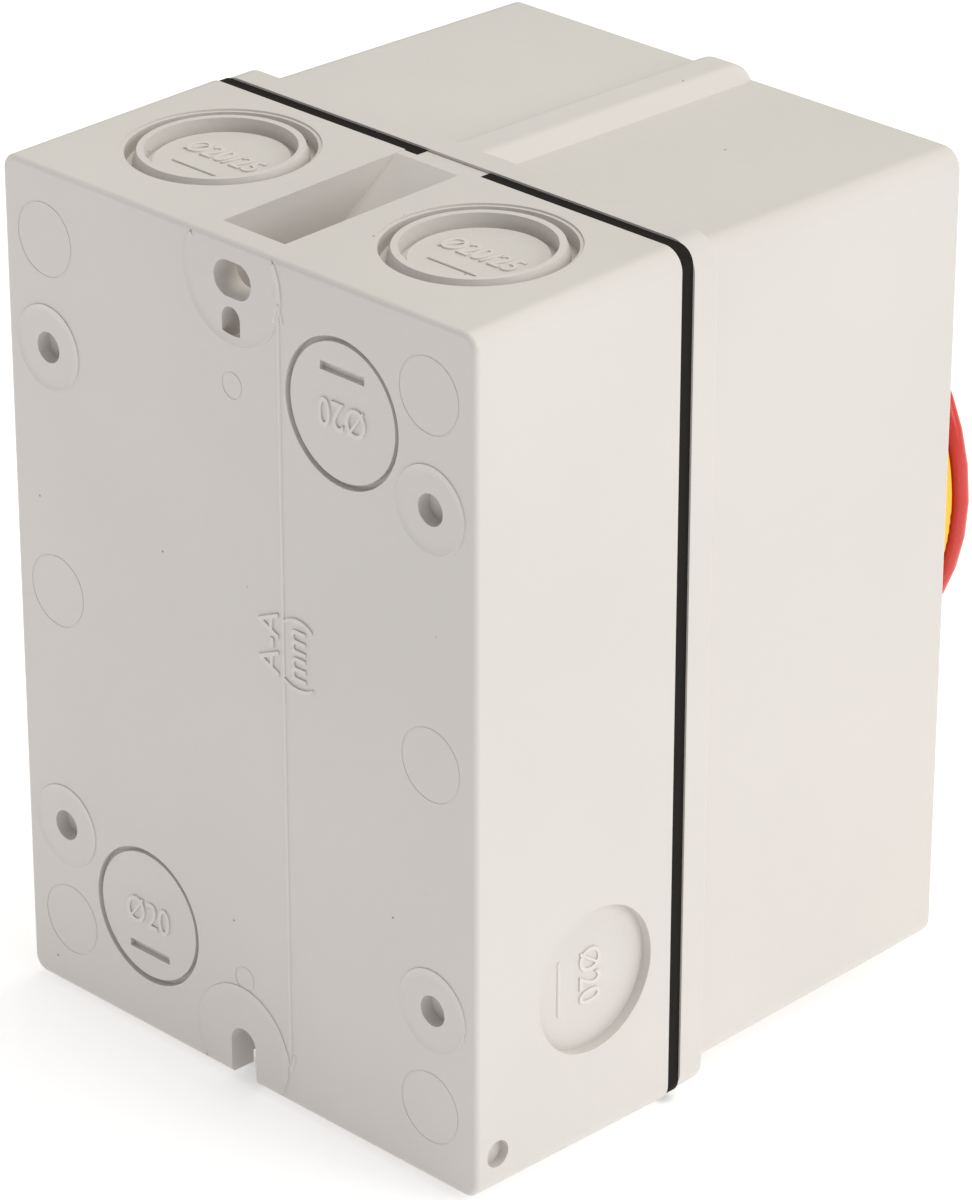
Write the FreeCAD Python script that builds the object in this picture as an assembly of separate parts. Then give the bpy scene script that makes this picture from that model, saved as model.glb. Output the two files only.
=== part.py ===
"""Enclosed rotary isolator switch: a wall-mounted plastic case with a four-pole cam switch inside.

Frame: X to the right seen from the front, Z up, and the front faces -Y.
The origin is the centre of the rear mounting face. Depths are measured forward from that face,
so a depth d lies at y = -d. All lengths are in millimetres.
"""
import FreeCAD, Part
import math
import os

V = FreeCAD.Vector
os.makedirs("parts", exist_ok=True)

# ---------------------------------------------------------------- enclosure sizes
REAR_W, REAR_H, REAR_CORNER = 85.8, 120.3, 2.2
RIM_W, RIM_H, RIM_CORNER = 86.3, 121.8, 2.9
BASE_DEPTH = 35.6
WALL = 2.4
FLOOR = 2.6
JOINT_GAP = 2.3
FLANGE_BACK = BASE_DEPTH + JOINT_GAP
FLANGE_DEPTH = 4.4
FLANGE_FRONT = FLANGE_BACK + FLANGE_DEPTH
FLANGE_CORNER = 3.9
BODY_W_BACK, BODY_H_BACK = 82.7, 118.1
BODY_W_FRONT, BODY_H_FRONT = 82.3, 116.7
BODY_CORNER = 2.9
LID_FRONT = 91.0
LID_INNER = LID_FRONT - WALL

# ---------------------------------------------------------------- features of the rear face
BOSS_X, BOSS_Z = 35.1, 35.1
BOSS_R, BOSS_HOLE_R, BOSS_HOLE_DEPTH, BOSS_TOP = 5.95, 2.15, 2.0, 9.0
SLOT_Z = 55.0
SLOT_TOP_X, SLOT_BOTTOM_X = -0.4, 0.6
SLOT_WIDE, SLOT_HIGH = 6.8, 4.9
KEY_SLOT_W, KEY_SLOT_TOP, KEY_SLOT_BOTTOM = 3.3, 51.3, 46.5
OPEN_SLOT_W = 4.7
KNOCKOUT_20_R = 10.0
REAR_KNOCKOUTS = ((-19.7, 43.0), (19.0, -42.8))
MARK_DEPTH = 0.12
PAD_R = 8.8
EJECTOR_R = 5.2
EJECTORS = ((35.0, 50.3), (35.0, 0.2), (34.6, -49.4))
GATE_R, GATE_TOP_Z, GATE_BOTTOM_Z = 1.9, 40.7, -44.7

# ---------------------------------------------------------------- cable entries in the walls
ENTRY_X, ENTRY_DEPTH = 23.3, 20.2
ENTRY_R = (13.0, 11.4, 9.95, 8.9)
ENTRY_GROOVE, ENTRY_SINK, ENTRY_CREST_R, ENTRY_SLOPE = 2.4, 1.6, 10.9, 1.4
ENTRY_WALL, ENTRY_PAD_R = 3.3, 13.8
SIDE_ENTRY_R, SIDE_ENTRY_DEPTH, SIDE_ENTRY_Z = 10.3, 21.6, -36.1
SIDE_ENTRY_SINK = 1.5
DRAIN_R, DRAIN_DEPTH, DRAIN_Z = 1.9, 3.9, -54.6

# ---------------------------------------------------------------- screw pockets at top and bottom
POCKET_LEFT, POCKET_RIGHT = -5.9, 5.3
POCKET_BACK = 3.9
POCKET_FLOOR_Z = 45.3
POCKET_SKIN = 1.8
RAMP_ANGLE = 35.0
TAB_LEFT, TAB_RIGHT, TAB_SINK = -7.7, 3.5, 0.4

# ---------------------------------------------------------------- lid fastening
POST_X, POST_Z, POST_R = 34.2, 51.2, 4.6
POST_TOP = 36.0
INSERT_R, INSERT_LENGTH = 2.9, 8.0
COLUMN_R, WELL_R, WELL_FLOOR = 5.3, 4.3, 48.0
LID_SCREW_R, LID_SCREW_HEAD_R, LID_SCREW_HEAD_H = 2.0, 3.7, 3.0
LID_SCREW_HOLE_R = 2.2
SEAL_OUT, SEAL_IN, SEAL_LIP_OUT = 0.8, 3.4, 0.3
SEAL_SUNK = 1.5

# ---------------------------------------------------------------- centre band over the lid
BAND_FOOT, BAND_TOP, BAND_RISE = 5.1, 2.5, 1.85
BAND_ROUND, BAND_CORNER = 2.0, 4.0
BAND_START = FLANGE_FRONT - 1.0

# ---------------------------------------------------------------- switch stack along the shaft
STACK_BACK = 9.5
PLATE_T = 5.0
CHAMBER_T = 12.5
WEB = 2.0
CHAMBER_REAR = STACK_BACK + PLATE_T
CHAMBER_FRONT = CHAMBER_REAR + CHAMBER_T
LATCH_BACK = CHAMBER_FRONT + CHAMBER_T
LATCH_T = 12.5
COVER_BACK = LATCH_BACK + LATCH_T
COVER_T = 2.0
COVER_FRONT = COVER_BACK + COVER_T
STACK_HALF_X, STACK_HALF_Z = 24.0, 27.0
LATCH_HALF = 22.0
EAR_HALF, EAR_END = 6.0, 37.0
FIXING_Z = 32.0
TIE_Z, TIE_R, TIE_HEAD_R, TIE_HEAD_H = 18.5, 1.75, 3.2, 2.6

# ---------------------------------------------------------------- rotor
SHAFT_SIDE, SHAFT_FRONT = 6.0, 97.0
JOURNAL_R, JOURNAL_PLAY = 4.55, 0.05
CAM_HIGH, CAM_LOW = 10.5, 7.5
BRIDGE_TRAVEL = CAM_HIGH - CAM_LOW
CAM_T = 7.0
CAM_POCKET_R = 11.4
HUB_HOLE_R = 5.6
STAR_TIP, STAR_NOTCH, STAR_T = 11.0, 9.8, 7.0

# ---------------------------------------------------------------- contacts
CONTACT_W = 5.0
FIXED_X, FIXED_T, BUTTON_T, BUTTON_R = 12.6, 1.2, 0.8, 1.7
BUTTON_Z = 8.0
CONTACT_GAP = 0.1
NOTCH_Z = 14.0
BRIDGE_END = 9.9
PLUNGER_PLAY = 0.3
PLUNGER_HALF_Y, PLUNGER_HALF_Z = 3.0, 3.5
SPRING_SEAT_X = 22.8
TERMINAL_Z = 20.0
TERMINAL_SCREW_R, TERMINAL_HEAD_R = 1.9, 3.1

# ---------------------------------------------------------------- earth terminal
EARTH_X, EARTH_HALF_Z, EARTH_POST_TOP = 32.0, 9.0, 16.0

# ---------------------------------------------------------------- collar, handle and lock
COLLAR_R, COLLAR_H, COLLAR_FLOOR, COLLAR_INNER = 31.4, 13.0, 3.0, 28.6
COLLAR_FRONT = LID_FRONT + COLLAR_H
COLLAR_SCREW_PCD_R, COLLAR_PILLAR_R = 22.0, 3.3
STEM_R, STEM_PLAY, STEM_BACK = 8.83, 0.07, 80.0
BUSH_R, BUSH_FLANGE_R = 11.0, 14.0
SOCKET_SIDE = 6.4
DISC_R, DISC_BACK, DISC_T = 32.4, COLLAR_FRONT + 0.3, 2.7
DISC_FRONT = DISC_BACK + DISC_T
GRIP_LENGTH, GRIP_W, GRIP_TOP = 58.0, 13.0, 121.0
SKIRT_OUT, SKIRT_IN, SKIRT_BACK = 27.9, 25.9, 97.0
HUB_R, HUB_BACK = 12.0, 95.0
INLAY_START, INLAY_END, INLAY_HALF, INLAY_T, INLAY_SUNK = -26.0, -11.0, 1.3, 0.55, 0.05
LOCK_HALF_Z, LOCK_BACK, LOCK_FRONT = 2.5, 108.0, 118.4
LOCK_TAIL, LOCK_END, LOCK_HOLE_X, LOCK_HOLE_R = 10.0, 28.6, 23.0, 3.3
LOCK_PLAY = 0.3


# ---------------------------------------------------------------- shape helpers
def box(x0, x1, d0, d1, z0, z1):
    """A box between two X, depth and Z values."""
    return Part.makeBox(x1 - x0, d1 - d0, z1 - z0, V(x0, -d1, z0))


def rod(r, d0, d1, x=0.0, z=0.0):
    """A cylinder along the depth."""
    return Part.makeCylinder(r, d1 - d0, V(x, -d0, z), V(0, -1, 0))


def tube(r_out, r_in, d0, d1, x=0.0, z=0.0):
    """A hollow cylinder along the depth."""
    return rod(r_out, d0, d1, x, z).cut(rod(r_in, d0 - 1, d1 + 1, x, z))


def rod_x(r, x0, x1, d, z):
    """A cylinder along X."""
    return Part.makeCylinder(r, abs(x1 - x0), V(min(x0, x1), -d, z), V(1, 0, 0))


def rod_z(r, z0, z1, x, d):
    """A cylinder along Z."""
    return Part.makeCylinder(r, z1 - z0, V(x, -d, z0), V(0, 0, 1))


def rounded_wire(width, height, corner, depth):
    """A rectangle with round corners, centred on the axis, at one depth."""
    a, b, y = width / 2 - corner, height / 2 - corner, -depth
    edges = []
    for turn, (cx, cz) in enumerate(((a, b), (-a, b), (-a, -b), (a, -b))):
        start, middle, end = (
            V(cx + corner * math.cos(t), y, cz + corner * math.sin(t))
            for t in (math.pi / 2 * (turn + k / 2) for k in range(3))
        )
        if edges:
            edges.append(Part.LineSegment(edges[-1].EndPoint, start))
        edges.append(Part.Arc(start, middle, end))
    edges.append(Part.LineSegment(edges[-1].EndPoint, edges[0].StartPoint))
    return Part.Wire([edge.toShape() for edge in edges])


def block(*sections):
    """A solid through rounded rectangles, each given as width, height, corner and depth."""
    return Part.makeLoft([rounded_wire(*section) for section in sections], True, True)


def prism_x(points, x0, x1):
    """A polygon of (depth, z) points carried along X."""
    corners = [V(x0, -d, z) for d, z in points]
    face = Part.Face(Part.makePolygon(corners + corners[:1]))
    return face.extrude(V(x1 - x0, 0, 0))


def join(shapes):
    """Fuse touching shapes into one and drop the seams."""
    first, rest = shapes[0], list(shapes[1:])
    return first.fuse(rest).removeSplitter() if rest else first


def group(shapes):
    """Separate identical solids kept in one node."""
    return Part.makeCompound(list(shapes))


def mirrored(shape, normal):
    """The mirror image of a shape in a plane through the origin."""
    return shape.mirror(V(0, 0, 0), normal)


def corners(x, z):
    """The four points (+-x, +-z)."""
    return [(sx * x, sz * z) for sx in (-1, 1) for sz in (-1, 1)]


def softened(shape, radius, wanted):
    """Fillet the edges that a test picks."""
    edges = [edge for edge in shape.Edges if wanted(edge)]
    return shape.makeFillet(radius, edges)


def turned(shape):
    """A piece drawn along X, turned a quarter so that its -X end points up."""
    return shape.rotated(V(0, 0, 0), V(0, 1, 0), 90)


def save(name, shape):
    """Write one node and say what it holds."""
    assert shape.isValid() and shape.Solids, name
    shape.exportStep(f"parts/{name}.step")
    print(f"{name:24s} solids {len(shape.Solids):2d}  volume {shape.Volume:10.1f}")


# ---------------------------------------------------------------- walls of the base
def wall_frames():
    """Centre and outward normal of the top, bottom and side walls, which lean with the draft."""
    rise = (RIM_H - REAR_H) / 2 / BASE_DEPTH
    lean = (RIM_W - REAR_W) / 2 / BASE_DEPTH

    def on_top(x, d, sign):
        """A place on the top or bottom wall at one X and depth."""
        return V(x, -d, sign * (REAR_H / 2 + rise * d)), V(0, rise, sign).normalize()

    def on_side(d, z, sign):
        """A place on a side wall at one depth and Z."""
        return V(sign * (REAR_W / 2 + lean * d), -d, z), V(sign, lean, 0).normalize()

    return on_top, on_side


def ring_groove(place, r_out, r_in, depth):
    """A groove between two radii, cut square to a wall."""
    point, normal = place
    start = point + normal
    outer = Part.makeCylinder(r_out, depth + 1, start, -normal)
    if r_in == 0:
        return outer
    return outer.cut(Part.makeCylinder(r_in, depth + 3, start + normal, -normal))


def sloped_groove(place, r_out, r_crest, r_foot, depth):
    """A groove whose inner wall slopes outwards, from a crest radius at the wall to a foot radius."""
    point, normal = place
    slope = (r_foot - r_crest) / depth
    start = point + normal
    outer = Part.makeCylinder(r_out, depth + 1, start, -normal)
    return outer.cut(Part.makeCone(r_crest - slope, r_foot, depth + 1, start, -normal))


def entry_pad(place):
    """Thicker wall behind a cable entry, so that its grooves leave a web."""
    point, normal = place
    return Part.makeCylinder(ENTRY_PAD_R, ENTRY_WALL - 0.5, point - normal * 0.5, -normal)


def screw_pocket():
    """The pocket above the hanging slot and the skin around it: a deep well with a driver ramp."""
    top_z = RIM_H / 2 + 2
    ramp_start = BASE_DEPTH - 1.6
    run = 1 / math.tan(math.radians(RAMP_ANGLE))
    floor_d = ramp_start - (RIM_H / 2 - POCKET_FLOOR_Z) * run
    hollow = prism_x(
        [(POCKET_BACK, POCKET_FLOOR_Z), (floor_d, POCKET_FLOOR_Z), (ramp_start, RIM_H / 2 - 0.05),
         (BASE_DEPTH + 1, RIM_H / 2 - 0.25), (BASE_DEPTH + 1, top_z), (POCKET_BACK, top_z)],
        POCKET_LEFT, POCKET_RIGHT)
    low = POCKET_FLOOR_Z - POCKET_SKIN
    slant = POCKET_SKIN / math.sin(math.radians(RAMP_ANGLE))
    skin = prism_x(
        [(0, low), (floor_d + slant * 0.7, low), (BASE_DEPTH - 0.1, RIM_H / 2 - POCKET_SKIN * 1.1),
         (BASE_DEPTH - 0.1, RIM_H / 2 - 0.6), (0, REAR_H / 2 - 0.6)],
        POCKET_LEFT - POCKET_SKIN, POCKET_RIGHT + POCKET_SKIN)
    return hollow, skin


def enclosure_base():
    """The rear half of the case, with its bosses, knockouts, slots and pockets."""
    outer = block((REAR_W, REAR_H, REAR_CORNER, 0), (RIM_W, RIM_H, RIM_CORNER, BASE_DEPTH))
    outer = softened(outer, 0.7, lambda e: all(abs(v.Point.y) < 1e-6 for v in e.Vertexes))
    inner = block((REAR_W - 2 * WALL, REAR_H - 2 * WALL, 1.2, FLOOR),
                  (RIM_W - 2 * WALL, RIM_H - 2 * WALL, 2.0, BASE_DEPTH + 0.001))
    shell = outer.cut(inner)
    hollow, skin = screw_pocket()
    flip = V(0, 0, 1)
    added = [rod(BOSS_R, FLOOR - 1, BOSS_TOP, x, z) for x, z in corners(BOSS_X, BOSS_Z)]
    added += [rod(POST_R, FLOOR - 1, POST_TOP, x, z) for x, z in corners(POST_X, POST_Z)]
    added += [rod(4.6, FLOOR - 1, STACK_BACK, 0, sign * FIXING_Z) for sign in (-1, 1)]
    added += [skin, mirrored(skin, flip)]
    on_top, _ = wall_frames()
    added += [entry_pad(on_top(x, ENTRY_DEPTH, sign)) for x, sign in corners(ENTRY_X, 1)]
    added.append(box(EARTH_X - 5, EARTH_X + 5, FLOOR - 1, EARTH_POST_TOP, -EARTH_HALF_Z, EARTH_HALF_Z))
    added.append(box(TAB_LEFT, TAB_RIGHT, BASE_DEPTH - 1, FLANGE_BACK - 0.15,
                     RIM_H / 2 - WALL, RIM_H / 2 - TAB_SINK))
    bounds = block((REAR_W, REAR_H, REAR_CORNER, 0), (RIM_W, RIM_H, RIM_CORNER, BASE_DEPTH),
                   (RIM_W, RIM_H, RIM_CORNER, BASE_DEPTH + 5))
    shell = join([shell] + [piece.common(bounds) for piece in added])
    return shell.cut(base_cuts(hollow, mirrored(hollow, flip)))


def base_cuts(*hollows):
    """Everything that is cut out of the base."""
    cuts = list(hollows)
    cuts += [rod(BOSS_HOLE_R, -1, BOSS_HOLE_DEPTH, x, z) for x, z in corners(BOSS_X, BOSS_Z)]
    cuts += [tube(BOSS_R, BOSS_R - 0.35, -1, MARK_DEPTH, x, z) for x, z in corners(BOSS_X, BOSS_Z)]
    cuts += [rod(INSERT_R, POST_TOP - INSERT_LENGTH, POST_TOP + 1, x, z) for x, z in corners(POST_X, POST_Z)]
    cuts += [rod(2.3, 20, POST_TOP, x, z) for x, z in corners(POST_X, POST_Z)]
    cuts += [rod(1.8, FLOOR + 1, STACK_BACK + 1, 0, sign * FIXING_Z) for sign in (-1, 1)]
    cuts += [rod(1.75, 8, EARTH_POST_TOP + 1, EARTH_X, z) for z in (-4.5, 4.5)]
    half = (SLOT_WIDE - SLOT_HIGH) / 2
    for x in (SLOT_TOP_X - half, SLOT_TOP_X + half):
        cuts.append(rod(SLOT_HIGH / 2, -1, POCKET_BACK + 1, x, SLOT_Z))
    cuts.append(box(SLOT_TOP_X - half, SLOT_TOP_X + half, -1, POCKET_BACK + 1,
                    SLOT_Z - SLOT_HIGH / 2, SLOT_Z + SLOT_HIGH / 2))
    round_z = KEY_SLOT_TOP - KEY_SLOT_W / 2
    cuts.append(rod(KEY_SLOT_W / 2, -1, POCKET_BACK + 1, 0, round_z))
    cuts.append(box(-KEY_SLOT_W / 2, KEY_SLOT_W / 2, -1, POCKET_BACK + 1, KEY_SLOT_BOTTOM, round_z))
    cuts.append(rod(OPEN_SLOT_W / 2, -1, POCKET_BACK + 1, SLOT_BOTTOM_X, -SLOT_Z))
    cuts.append(box(SLOT_BOTTOM_X - OPEN_SLOT_W / 2, SLOT_BOTTOM_X + OPEN_SLOT_W / 2,
                    -1, POCKET_BACK + 1, -RIM_H / 2 - 1, -SLOT_Z))
    for x, z in ((SLOT_TOP_X, SLOT_Z), (SLOT_BOTTOM_X, -SLOT_Z)):
        cuts.append(tube(PAD_R, PAD_R - 0.3, -1, MARK_DEPTH, x, z))
    for x, z in REAR_KNOCKOUTS:
        cuts.append(tube(KNOCKOUT_20_R, KNOCKOUT_20_R - 0.75, -1, 1.1, x, z))
        cuts.append(rod(KNOCKOUT_20_R - 0.5, -1, 0.15, x, z))
        bar_z = z + math.copysign(5.4, z)
        cuts.append(box(x - 3.9, x + 3.9, -1, 0.9, bar_z - 0.6, bar_z + 0.6))
    for x, z in EJECTORS:
        cuts += [tube(EJECTOR_R, EJECTOR_R - 0.25, -1, 0.06, sign * x, z) for sign in (-1, 1)]
    for z in (GATE_TOP_Z, GATE_BOTTOM_Z):
        cuts.append(tube(GATE_R, GATE_R - 0.25, -1, 0.06, 0, z))
    cuts += entry_cuts()
    return group(cuts)


def entry_cuts():
    """The rings of the cable entries: two on top, two below and one on each side."""
    on_top, on_side = wall_frames()
    lip, groove, ring, disc = ENTRY_R
    cuts = []
    for sign in (-1, 1):
        for x in (-ENTRY_X, ENTRY_X):
            place = on_top(x, ENTRY_DEPTH, sign)
            cuts.append(ring_groove(place, lip, lip - 0.5, 0.25))
            cuts.append(ring_groove(place, lip - 0.5, groove, ENTRY_GROOVE))
            cuts.append(sloped_groove(place, groove + 0.1, ENTRY_CREST_R, groove, ENTRY_SLOPE))
            cuts.append(ring_groove(place, ring, disc, ENTRY_GROOVE))
            cuts.append(ring_groove(place, disc + 0.1, 0, ENTRY_SINK))
        place = on_side(SIDE_ENTRY_DEPTH, -sign * SIDE_ENTRY_Z, sign)
        cuts.append(ring_groove(place, SIDE_ENTRY_R, 0, SIDE_ENTRY_SINK))
        drain = on_side(DRAIN_DEPTH, -sign * DRAIN_Z, sign)
        cuts.append(ring_groove(drain, DRAIN_R, 0, 1.4))
    return cuts


# ---------------------------------------------------------------- lid
def band_outline(x, drop):
    """Side view of the lid band at one X: its outer line, lowered by a drop, and its buried inner line."""
    back = BODY_H_BACK / 2 + BAND_RISE - drop
    high = BODY_H_FRONT / 2 + BAND_RISE - drop
    front = LID_FRONT + BAND_RISE - drop
    round_r = BAND_CORNER - drop
    quarter = round_r * (1 - math.sqrt(0.5))
    inner = BODY_H_FRONT / 2 - 1.0

    def point(d, z):
        """A point of the outline from its depth and Z."""
        return V(x, -d, z)

    edges = [Part.makeLine(point(BAND_START, back), point(front - round_r, high)),
             Part.Arc(point(front - round_r, high), point(front - quarter, high - quarter),
                      point(front, high - round_r)).toShape(),
             Part.makeLine(point(front, high - round_r), point(front, -high + round_r)),
             Part.Arc(point(front, -high + round_r), point(front - quarter, -high + quarter),
                      point(front - round_r, -high)).toShape(),
             Part.makeLine(point(front - round_r, -high), point(BAND_START, -back))]
    inside = [(BAND_START, -back), (BAND_START, -inner), (LID_FRONT - 1, -inner),
              (LID_FRONT - 1, inner), (BAND_START, inner), (BAND_START, back)]
    edges += [Part.makeLine(point(*a), point(*b)) for a, b in zip(inside, inside[1:])]
    return Part.Wire(edges)


def lid_band():
    """The raised band that wraps over the top, front and bottom of the lid, with sloping shoulders."""
    wires = [band_outline(x, drop) for x, drop in
             ((-BAND_FOOT, BAND_RISE), (-BAND_TOP, 0), (BAND_TOP, 0), (BAND_FOOT, BAND_RISE))]
    slab = join([Part.makeLoft([a, b], True, True) for a, b in zip(wires, wires[1:])])
    front = LID_FRONT + BAND_RISE
    inner = BODY_H_FRONT / 2 - 1.0

    def shoulder(edge):
        """The long outer edges where the flat top meets a slope."""
        on_side = all(abs(abs(v.Point.x) - BAND_TOP) < 1e-6 for v in edge.Vertexes)
        centre = edge.CenterOfMass
        outside = abs(centre.z) > inner + 0.5 or -centre.y > front - 0.01
        return on_side and outside and -centre.y > BAND_START + 0.01

    slab = softened(slab, BAND_ROUND, shoulder)
    return slab.cut(rod(COLLAR_R + 1.6, LID_FRONT - 5, front + 1))


def enclosure_lid():
    """The front half of the case: flange, walls, front, screw columns and centre band."""
    flange = block((RIM_W, RIM_H, FLANGE_CORNER, FLANGE_BACK), (RIM_W, RIM_H, FLANGE_CORNER, FLANGE_FRONT))
    flange = softened(flange, 0.5, lambda e: abs(e.CenterOfMass.y + FLANGE_FRONT) < 1e-6)
    body = block((BODY_W_BACK, BODY_H_BACK, BODY_CORNER, FLANGE_FRONT - 1),
                 (BODY_W_FRONT, BODY_H_FRONT, BODY_CORNER, LID_FRONT))
    body = softened(body, 0.7, lambda e: all(abs(v.Point.y + LID_FRONT) < 1e-6 for v in e.Vertexes))
    step = block((BODY_W_BACK + 1.4, BODY_H_BACK + 1.4, BODY_CORNER + 0.5, FLANGE_FRONT - 1),
                 (BODY_W_BACK - 0.1, BODY_H_BACK - 0.1, BODY_CORNER, FLANGE_FRONT + 0.8))
    outer = join([flange, step, body])
    inner = block((BODY_W_BACK - 2 * WALL, BODY_H_BACK - 2 * WALL, 2.4, FLANGE_BACK - 0.001),
                  (BODY_W_FRONT - 2 * WALL, BODY_H_FRONT - 2 * WALL, 2.4, LID_INNER))
    shell = outer.cut(inner)
    columns = [rod(COLUMN_R, POST_TOP + 2.5, LID_INNER + 0.5, x, z) for x, z in corners(POST_X, POST_Z)]
    keep = block((RIM_W - 1, RIM_H - 1, FLANGE_CORNER, FLANGE_BACK),
                 (RIM_W - 1, RIM_H - 1, FLANGE_CORNER, FLANGE_FRONT),
                 (BODY_W_BACK - 1, BODY_H_BACK - 1, BODY_CORNER, FLANGE_FRONT + 0.01),
                 (BODY_W_FRONT - 1, BODY_H_FRONT - 1, BODY_CORNER, LID_FRONT))
    shell = join([shell, lid_band()] + [column.common(keep) for column in columns])
    cuts = [rod(BUSH_R, LID_INNER - 1, LID_FRONT + 3)]
    for x, z in corners(POST_X, POST_Z):
        cuts.append(rod(WELL_R, WELL_FLOOR, LID_FRONT + 3, x, z))
        cuts.append(rod(LID_SCREW_HOLE_R, FLANGE_BACK - 2, WELL_FLOOR + 1, x, z))
        cuts.append(rod(COLUMN_R + 1, FLANGE_BACK - 2, POST_TOP + 2.5, x, z).common(inner))
    for x, z in corners(*[COLLAR_SCREW_PCD_R / math.sqrt(2)] * 2):
        cuts.append(rod(1.7, LID_INNER - 1, LID_FRONT + 1, x, z))
    return shell.cut(group(cuts)).cut(seal_ring(FLANGE_BACK - 1, FLANGE_BACK + SEAL_SUNK))


def seal_ring(d0, d1, outset=SEAL_OUT):
    """A closed rectangular ring that follows the rim of the case."""
    sections = []
    for inset in (outset, SEAL_IN):
        size = (RIM_W - 2 * inset, RIM_H - 2 * inset, RIM_CORNER - 0.5)
        sections.append(block(size + (d0,), size + (d1,)))
    return sections[0].cut(sections[1])


def lid_gasket():
    """Rubber seal: a tongue in the flange's groove and a wider lip, pressed by the rim of the base."""
    tongue = seal_ring(BASE_DEPTH + 0.1, FLANGE_BACK + SEAL_SUNK)
    lip = seal_ring(BASE_DEPTH + 0.1, FLANGE_BACK, SEAL_LIP_OUT)
    tab_room = box(TAB_LEFT - 0.05, TAB_RIGHT + 0.05, 0, FLANGE_BACK, RIM_H / 2 - WALL - 0.1, RIM_H / 2)
    return join([tongue, lip]).cut(tab_room)


def lid_screws():
    """Captive screws at the bottom of the lid's wells."""
    shapes = []
    for x, z in corners(POST_X, POST_Z):
        head_back = WELL_FLOOR + 0.8
        head = rod(LID_SCREW_HEAD_R, head_back, head_back + LID_SCREW_HEAD_H, x, z)
        head = softened(head, 0.6, lambda e: abs(e.CenterOfMass.y + head_back + LID_SCREW_HEAD_H) < 1e-6)
        shank = rod(LID_SCREW_R, 24.0, head_back + 0.5, x, z)
        top = head_back + LID_SCREW_HEAD_H
        slot = [box(x - 2.4, x + 2.4, top - 1.5, top + 1, z - 0.45, z + 0.45),
                box(x - 0.45, x + 0.45, top - 1.5, top + 1, z - 2.4, z + 2.4)]
        shapes.append(join([head, shank]).cut(slot))
    return group(shapes)


# ---------------------------------------------------------------- switch housings
def base_plate():
    """Rear plate of the switch, with the shaft's rear bearing and two fixing ears."""
    plate = box(-STACK_HALF_X, STACK_HALF_X, STACK_BACK, CHAMBER_REAR, -STACK_HALF_Z, STACK_HALF_Z)
    ears = box(-EAR_HALF, EAR_HALF, STACK_BACK, CHAMBER_REAR - 1.5, -EAR_END, EAR_END)
    ears = softened(ears, 3.0, lambda e: abs(abs(e.CenterOfMass.z) - EAR_END) < 1e-6
                    and abs(abs(e.CenterOfMass.x) - EAR_HALF) < 1e-6)
    cuts = [rod(JOURNAL_R + JOURNAL_PLAY, STACK_BACK + 1, CHAMBER_REAR + 1)]
    for sign in (-1, 1):
        cuts.append(rod(2.2, STACK_BACK - 1, CHAMBER_REAR, 0, sign * FIXING_Z))
        cuts.append(rod(TIE_R, STACK_BACK + 0.5, CHAMBER_REAR + 1, 0, sign * TIE_Z))
    return join([plate, ears]).cut(group(cuts))


def contact_chamber(back):
    """One deck of the switch: a rear web, a cam pocket and the contact pockets on both sides."""
    front = back + CHAMBER_T
    middle = back + WEB + (CHAMBER_T - WEB) / 2
    deck = box(-STACK_HALF_X, STACK_HALF_X, back, front, -STACK_HALF_Z, STACK_HALF_Z)
    cuts = [rod(HUB_HOLE_R, back - 1, back + WEB + 1), rod(CAM_POCKET_R, back + WEB, front + 1)]
    half_y = PLUNGER_HALF_Y + 0.3
    for side in (-1, 1):
        near, far = sorted((side * 3.0, side * SPRING_SEAT_X))
        cuts.append(box(near, far, middle - half_y, front + 1, -PLUNGER_HALF_Z - 0.3, PLUNGER_HALF_Z + 0.3))
        near, far = sorted((side * FIXED_X, side * SPRING_SEAT_X))
        cuts.append(box(near, far, middle - half_y, front + 1, -BRIDGE_END - 0.6, BRIDGE_END + 0.6))
        for end in (-1, 1):
            low, high = sorted((end * NOTCH_Z, end * (STACK_HALF_Z + 1)))
            near, far = sorted((side * FIXED_X, side * (STACK_HALF_X + 1)))
            cuts.append(box(near, far, back + WEB, front + 1, low, high))
            low, high = sorted((end * (BRIDGE_END - 1), end * (NOTCH_Z + 1)))
            near, far = sorted((side * FIXED_X, side * (FIXED_X + FIXED_T)))
            cuts.append(box(near, far, middle - CONTACT_W / 2, front + 1, low, high))
            near, far = side * (BRIDGE_END - 0.3), side * (FIXED_X + 1)
            cuts.append(rod_x(TERMINAL_SCREW_R + 0.3, near, far, middle, end * TERMINAL_Z))
    cuts += [rod(TIE_R + 0.1, back - 1, front + 1, 0, sign * TIE_Z) for sign in (-1, 1)]
    return deck.cut(group(cuts)).removeSplitter()


def latch_housing():
    """Front housing with the star wheel's pocket and the two roller channels."""
    housing = box(-LATCH_HALF, LATCH_HALF, LATCH_BACK, COVER_BACK, -LATCH_HALF, LATCH_HALF)
    cuts = [rod(HUB_HOLE_R, LATCH_BACK - 1, COVER_BACK + 1),
            rod(STAR_TIP + 0.6, LATCH_BACK + WEB, COVER_BACK + 1),
            box(-20.5, 20.5, LATCH_BACK + WEB, COVER_BACK + 1, -3.0, 3.0)]
    cuts += [rod(TIE_R + 0.1, LATCH_BACK - 1, COVER_BACK + 1, 0, sign * TIE_Z) for sign in (-1, 1)]
    return housing.cut(group(cuts)).removeSplitter()


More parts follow.
